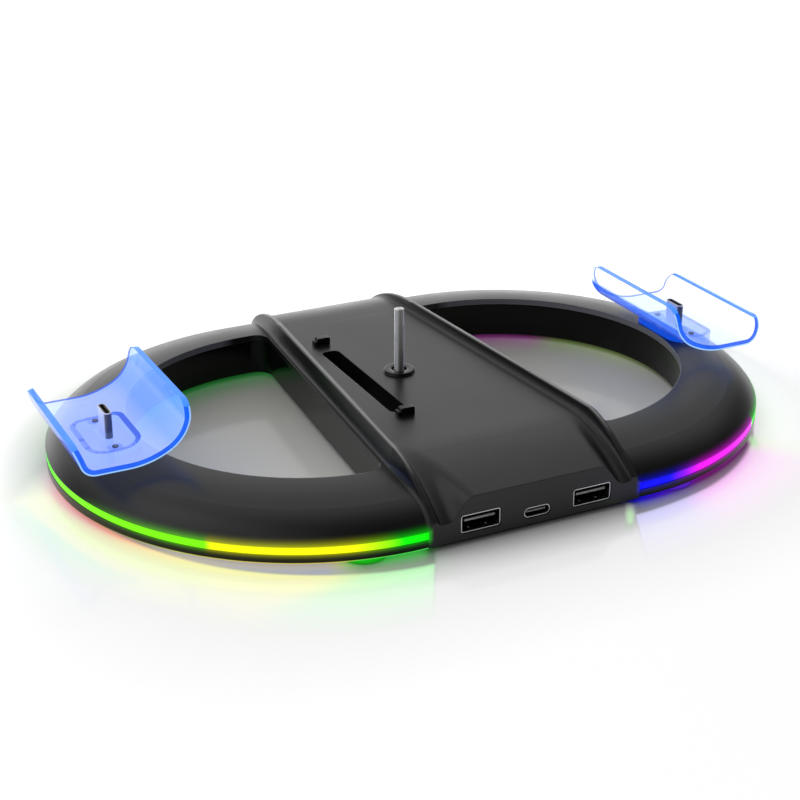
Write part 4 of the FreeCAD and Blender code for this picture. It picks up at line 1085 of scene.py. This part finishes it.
# Painted shade below the yellow strip, from blue painted light that turns the floor grey there, and painted
# light that leaks under the ring
EDGE_BLUE = (0.03, 0.25, 1.0)
EDGE_LIFT = 0.26
EDGE_RADIUS = (END_RADIUS - 7.0 * MM, END_RADIUS - 4.0 * MM)
EDGE_SHARE = (0.07, 0.11)
LEAK_RISE = (40.0 * MM, 59.0 * MM)
LEAK_POWER = 2.2
LEAK_END = (62.0 * MM, 66.0 * MM)
LEAK_SHARE = (0.45, 0.60, 0.0, 0.13)
UNDER_RING = (66.0 * MM, 70.0 * MM)


def leaning_x(tree, x, y):
    """X that leans in front of the case, as the light there does."""
    ahead = math_node(tree, "MINIMUM", total(tree, y, END_RADIUS), 0.0)
    return difference(tree, x, product(tree, ahead, GLOW_LEAN))


def floor_colour(tree, radius, y):
    """Pale grey; inside the ring a painted shade, darker towards the back."""
    in_ring = colour_ramp(tree, rise(tree, y, *RING_DEPTH), [(0.0, RING_FRONT), (1.0, RING_BACK)])
    return blend(tree, rise(tree, radius, *RING_FADE), in_ring, FLOOR_GREY)


def glow_colour(tree, leaning, on_left, share, away):
    """Colour of the strips' painted light on the floor, which drifts round the left end and fades to white
    outwards.
    """
    drift = product(tree, on_left, ranged(tree, share, *DRIFT_SHARE))
    outward = difference(tree, share, product(tree, ranged(tree, away, *DRIFT_AWAY), drift))
    fade = power(tree, rise(tree, away, *FADE_AWAY), FADE_POWER)
    return blend(tree, fade, side_colour(tree, leaning, outward, FLOOR_STOPS), WHITE)


def plain_lift(tree, radius, share):
    """White lift of the floor, by the distance from the case; less lift near the case paints a shadow round
    it.
    """
    outwards = total(tree, ranged(tree, radius, *LIFT_NEAR), ranged(tree, radius, *LIFT_FAR))
    return product(tree, outwards, ranged(tree, share, *LIFT_BESIDE), FLOOR_LIFT)


def glow_spot(tree, x, y, back, front):
    """Small painted streak of light between two points."""
    run = Vector(front) - Vector(back)
    length = run.length
    run /= length
    off_x = difference(tree, x, back[0])
    off_y = difference(tree, y, back[1])
    along = total(tree, product(tree, off_x, run.x), product(tree, off_y, run.y))
    across = difference(tree, product(tree, off_x, run.y), product(tree, off_y, run.x))
    beside = fall(tree, absolute(tree, across), 0.0, SPOT_HALF_WIDTH, smooth=True)
    return product(tree, beside, band(tree, along, SPOT_START, SPOT_FULL * length, SPOT_FADE * length))


def ring_leak(tree, radius, share):
    """Strength of the painted light that leaks under the ring into its openings."""
    by_wall = power(tree, rise(tree, radius, *LEAK_RISE), LEAK_POWER)
    return product(tree, by_wall, fall(tree, radius, *LEAK_END), ranged(tree, share, *LEAK_SHARE))


def floor_light(tree, x, y, leaning, radius, share):
    """Colour and strength of all the painted light on the floor, with the painted grey shade below the case's
    edge.
    """
    on_left = math_node(tree, "LESS_THAN", x, 0.0)
    away = difference(tree, total(tree, radius, product(tree, share, GLOW_TURN)), END_RADIUS)
    past_end = product(tree, rise(tree, absolute(tree, leaning), *GLOW_END_X, smooth=True),
                       fall(tree, share, *GLOW_END_SHARE))
    colour = blend(tree, past_end, WHITE, glow_colour(tree, leaning, on_left, share, away))
    glow = product(tree, ranged(tree, away, *GLOW_START, 0.0, FLOOR_GLOW, smooth=True), past_end,
                   ranged(tree, away, *GLOW_DIM))
    hidden = product(tree, past_end, fall(tree, away, *GLOW_START))
    plain = product(tree, plain_lift(tree, radius, share), difference(tree, 1.0, hidden))
    lift = largest(tree, glow, plain)
    for back, front in GLOW_SPOTS:
        spot = glow_spot(tree, x, y, back, front)
        colour = blend(tree, spot, colour, SPOT_COLOUR)
        lift = largest(tree, lift, product(tree, spot, FLOOR_GLOW))
    at_edge = product(tree, rise(tree, radius, *EDGE_RADIUS), on_left, rise(tree, share, *EDGE_SHARE))
    under_edge = product(tree, hidden, at_edge)
    colour = blend(tree, under_edge, colour, EDGE_BLUE)
    lift = largest(tree, lift, product(tree, under_edge, EDGE_LIFT), ring_leak(tree, radius, share))
    inner = side_colour(tree, x, share, INNER_STOPS)
    return blend(tree, rise(tree, radius, *UNDER_RING), inner, colour), lift


def pale_floor():
    """Material of the floor; its painted light is seen but lights nothing."""
    material, tree, shader = new_material("pale_floor")
    settings(shader, Roughness=0.12, Specular_IOR_Level=0.25)
    x, y, _ = place_parts(tree)
    leaning = leaning_x(tree, x, y)
    radius, share = round_case(tree, leaning, y)
    tree.links.new(floor_colour(tree, radius, y), shader.inputs["Base Color"])
    colour, lift = floor_light(tree, x, y, leaning, radius, share)
    path = tree.nodes.new("ShaderNodeLightPath")
    rays = [path.outputs[name] for name in ("Is Camera Ray", "Is Glossy Ray", "Is Transmission Ray")]
    tree.links.new(colour, shader.inputs["Emission Color"])
    tree.links.new(product(tree, lift, largest(tree, *rays)), shader.inputs["Emission Strength"])
    return material


mesh = bmesh.new()
bmesh.ops.create_grid(mesh, x_segments=1, y_segments=1, size=FLOOR_HALF)
floor_data = bpy.data.meshes.new("floor")
mesh.to_mesh(floor_data)
mesh.free()
floor_data.materials.append(pale_floor())
floor = bpy.data.objects.new("floor", floor_data)
bpy.context.scene.collection.objects.link(floor)


# World: soft light from above and from behind, stronger low down, and little from the front

SKY_LIGHT = 1.1
BACK_LIGHT_TURN = math.radians(10.0)
BACK_LIGHT_SPREAD = (math.radians(22.0), math.radians(52.0), 1.0, 0.12)
LOW_LIGHT = (0.10, 0.36, 2.0, 1.0)
TOP_LIGHT = (0.30, 0.65)
FRONT_LIGHT = (-0.35, 0.50, 0.10, 1.0)

world = bpy.data.worlds.new("studio")
bpy.context.scene.world = world
world.use_nodes = True
tree = world.node_tree
tree.nodes.clear()
sky = tree.nodes.new("ShaderNodeOutputWorld")
light = tree.nodes.new("ShaderNodeBackground")
tree.links.new(light.outputs["Background"], sky.inputs["Surface"])
direction = tree.nodes.new("ShaderNodeTexCoord")
split = tree.nodes.new("ShaderNodeSeparateXYZ")
tree.links.new(direction.outputs["Generated"], split.inputs["Vector"])
x, y, z = split.outputs["X"], split.outputs["Y"], split.outputs["Z"]
turn = difference(tree, math_node(tree, "ARCTAN2", x, y), BACK_LIGHT_TURN)
behind = product(tree, ranged(tree, absolute(tree, turn), *BACK_LIGHT_SPREAD, smooth=True),
                 ranged(tree, z, *LOW_LIGHT, smooth=True))
above = rise(tree, z, *TOP_LIGHT, smooth=True)
ahead = ranged(tree, y, *FRONT_LIGHT, smooth=True)
tree.links.new(product(tree, largest(tree, behind, above), ahead, SKY_LIGHT), light.inputs["Strength"])


# Side lamp and camera

LAMP_PLACE = Vector((-1.3, -0.2, 1.3))
LAMP_SIZE = (2.4, 2.0)
LAMP_POWER = 9.0

lamp_data = bpy.data.lights.new("side_light", "AREA")
lamp_data.shape = "RECTANGLE"
lamp_data.size, lamp_data.size_y = LAMP_SIZE
lamp_data.energy = LAMP_POWER
lamp = bpy.data.objects.new("side_light", lamp_data)
lamp.location = LAMP_PLACE
lamp.rotation_euler = (-LAMP_PLACE).to_track_quat("-Z", "Y").to_euler()
bpy.context.scene.collection.objects.link(lamp)

camera_data = bpy.data.cameras.new("camera")
camera_data.sensor_width = SENSOR_MM
camera_data.lens = FOCAL_PIXELS * SENSOR_MM / PICTURE_PIXELS
camera = bpy.data.objects.new("camera", camera_data)
camera.location = CAMERA_PLACE
camera.rotation_euler = (math.radians(90 - CAMERA_TILT), 0.0, math.radians(CAMERA_TURN))
bpy.context.scene.collection.objects.link(camera)
bpy.context.scene.camera = camera
bpy.context.scene.view_settings.view_transform = "Standard"

bpy.context.view_layer.update()
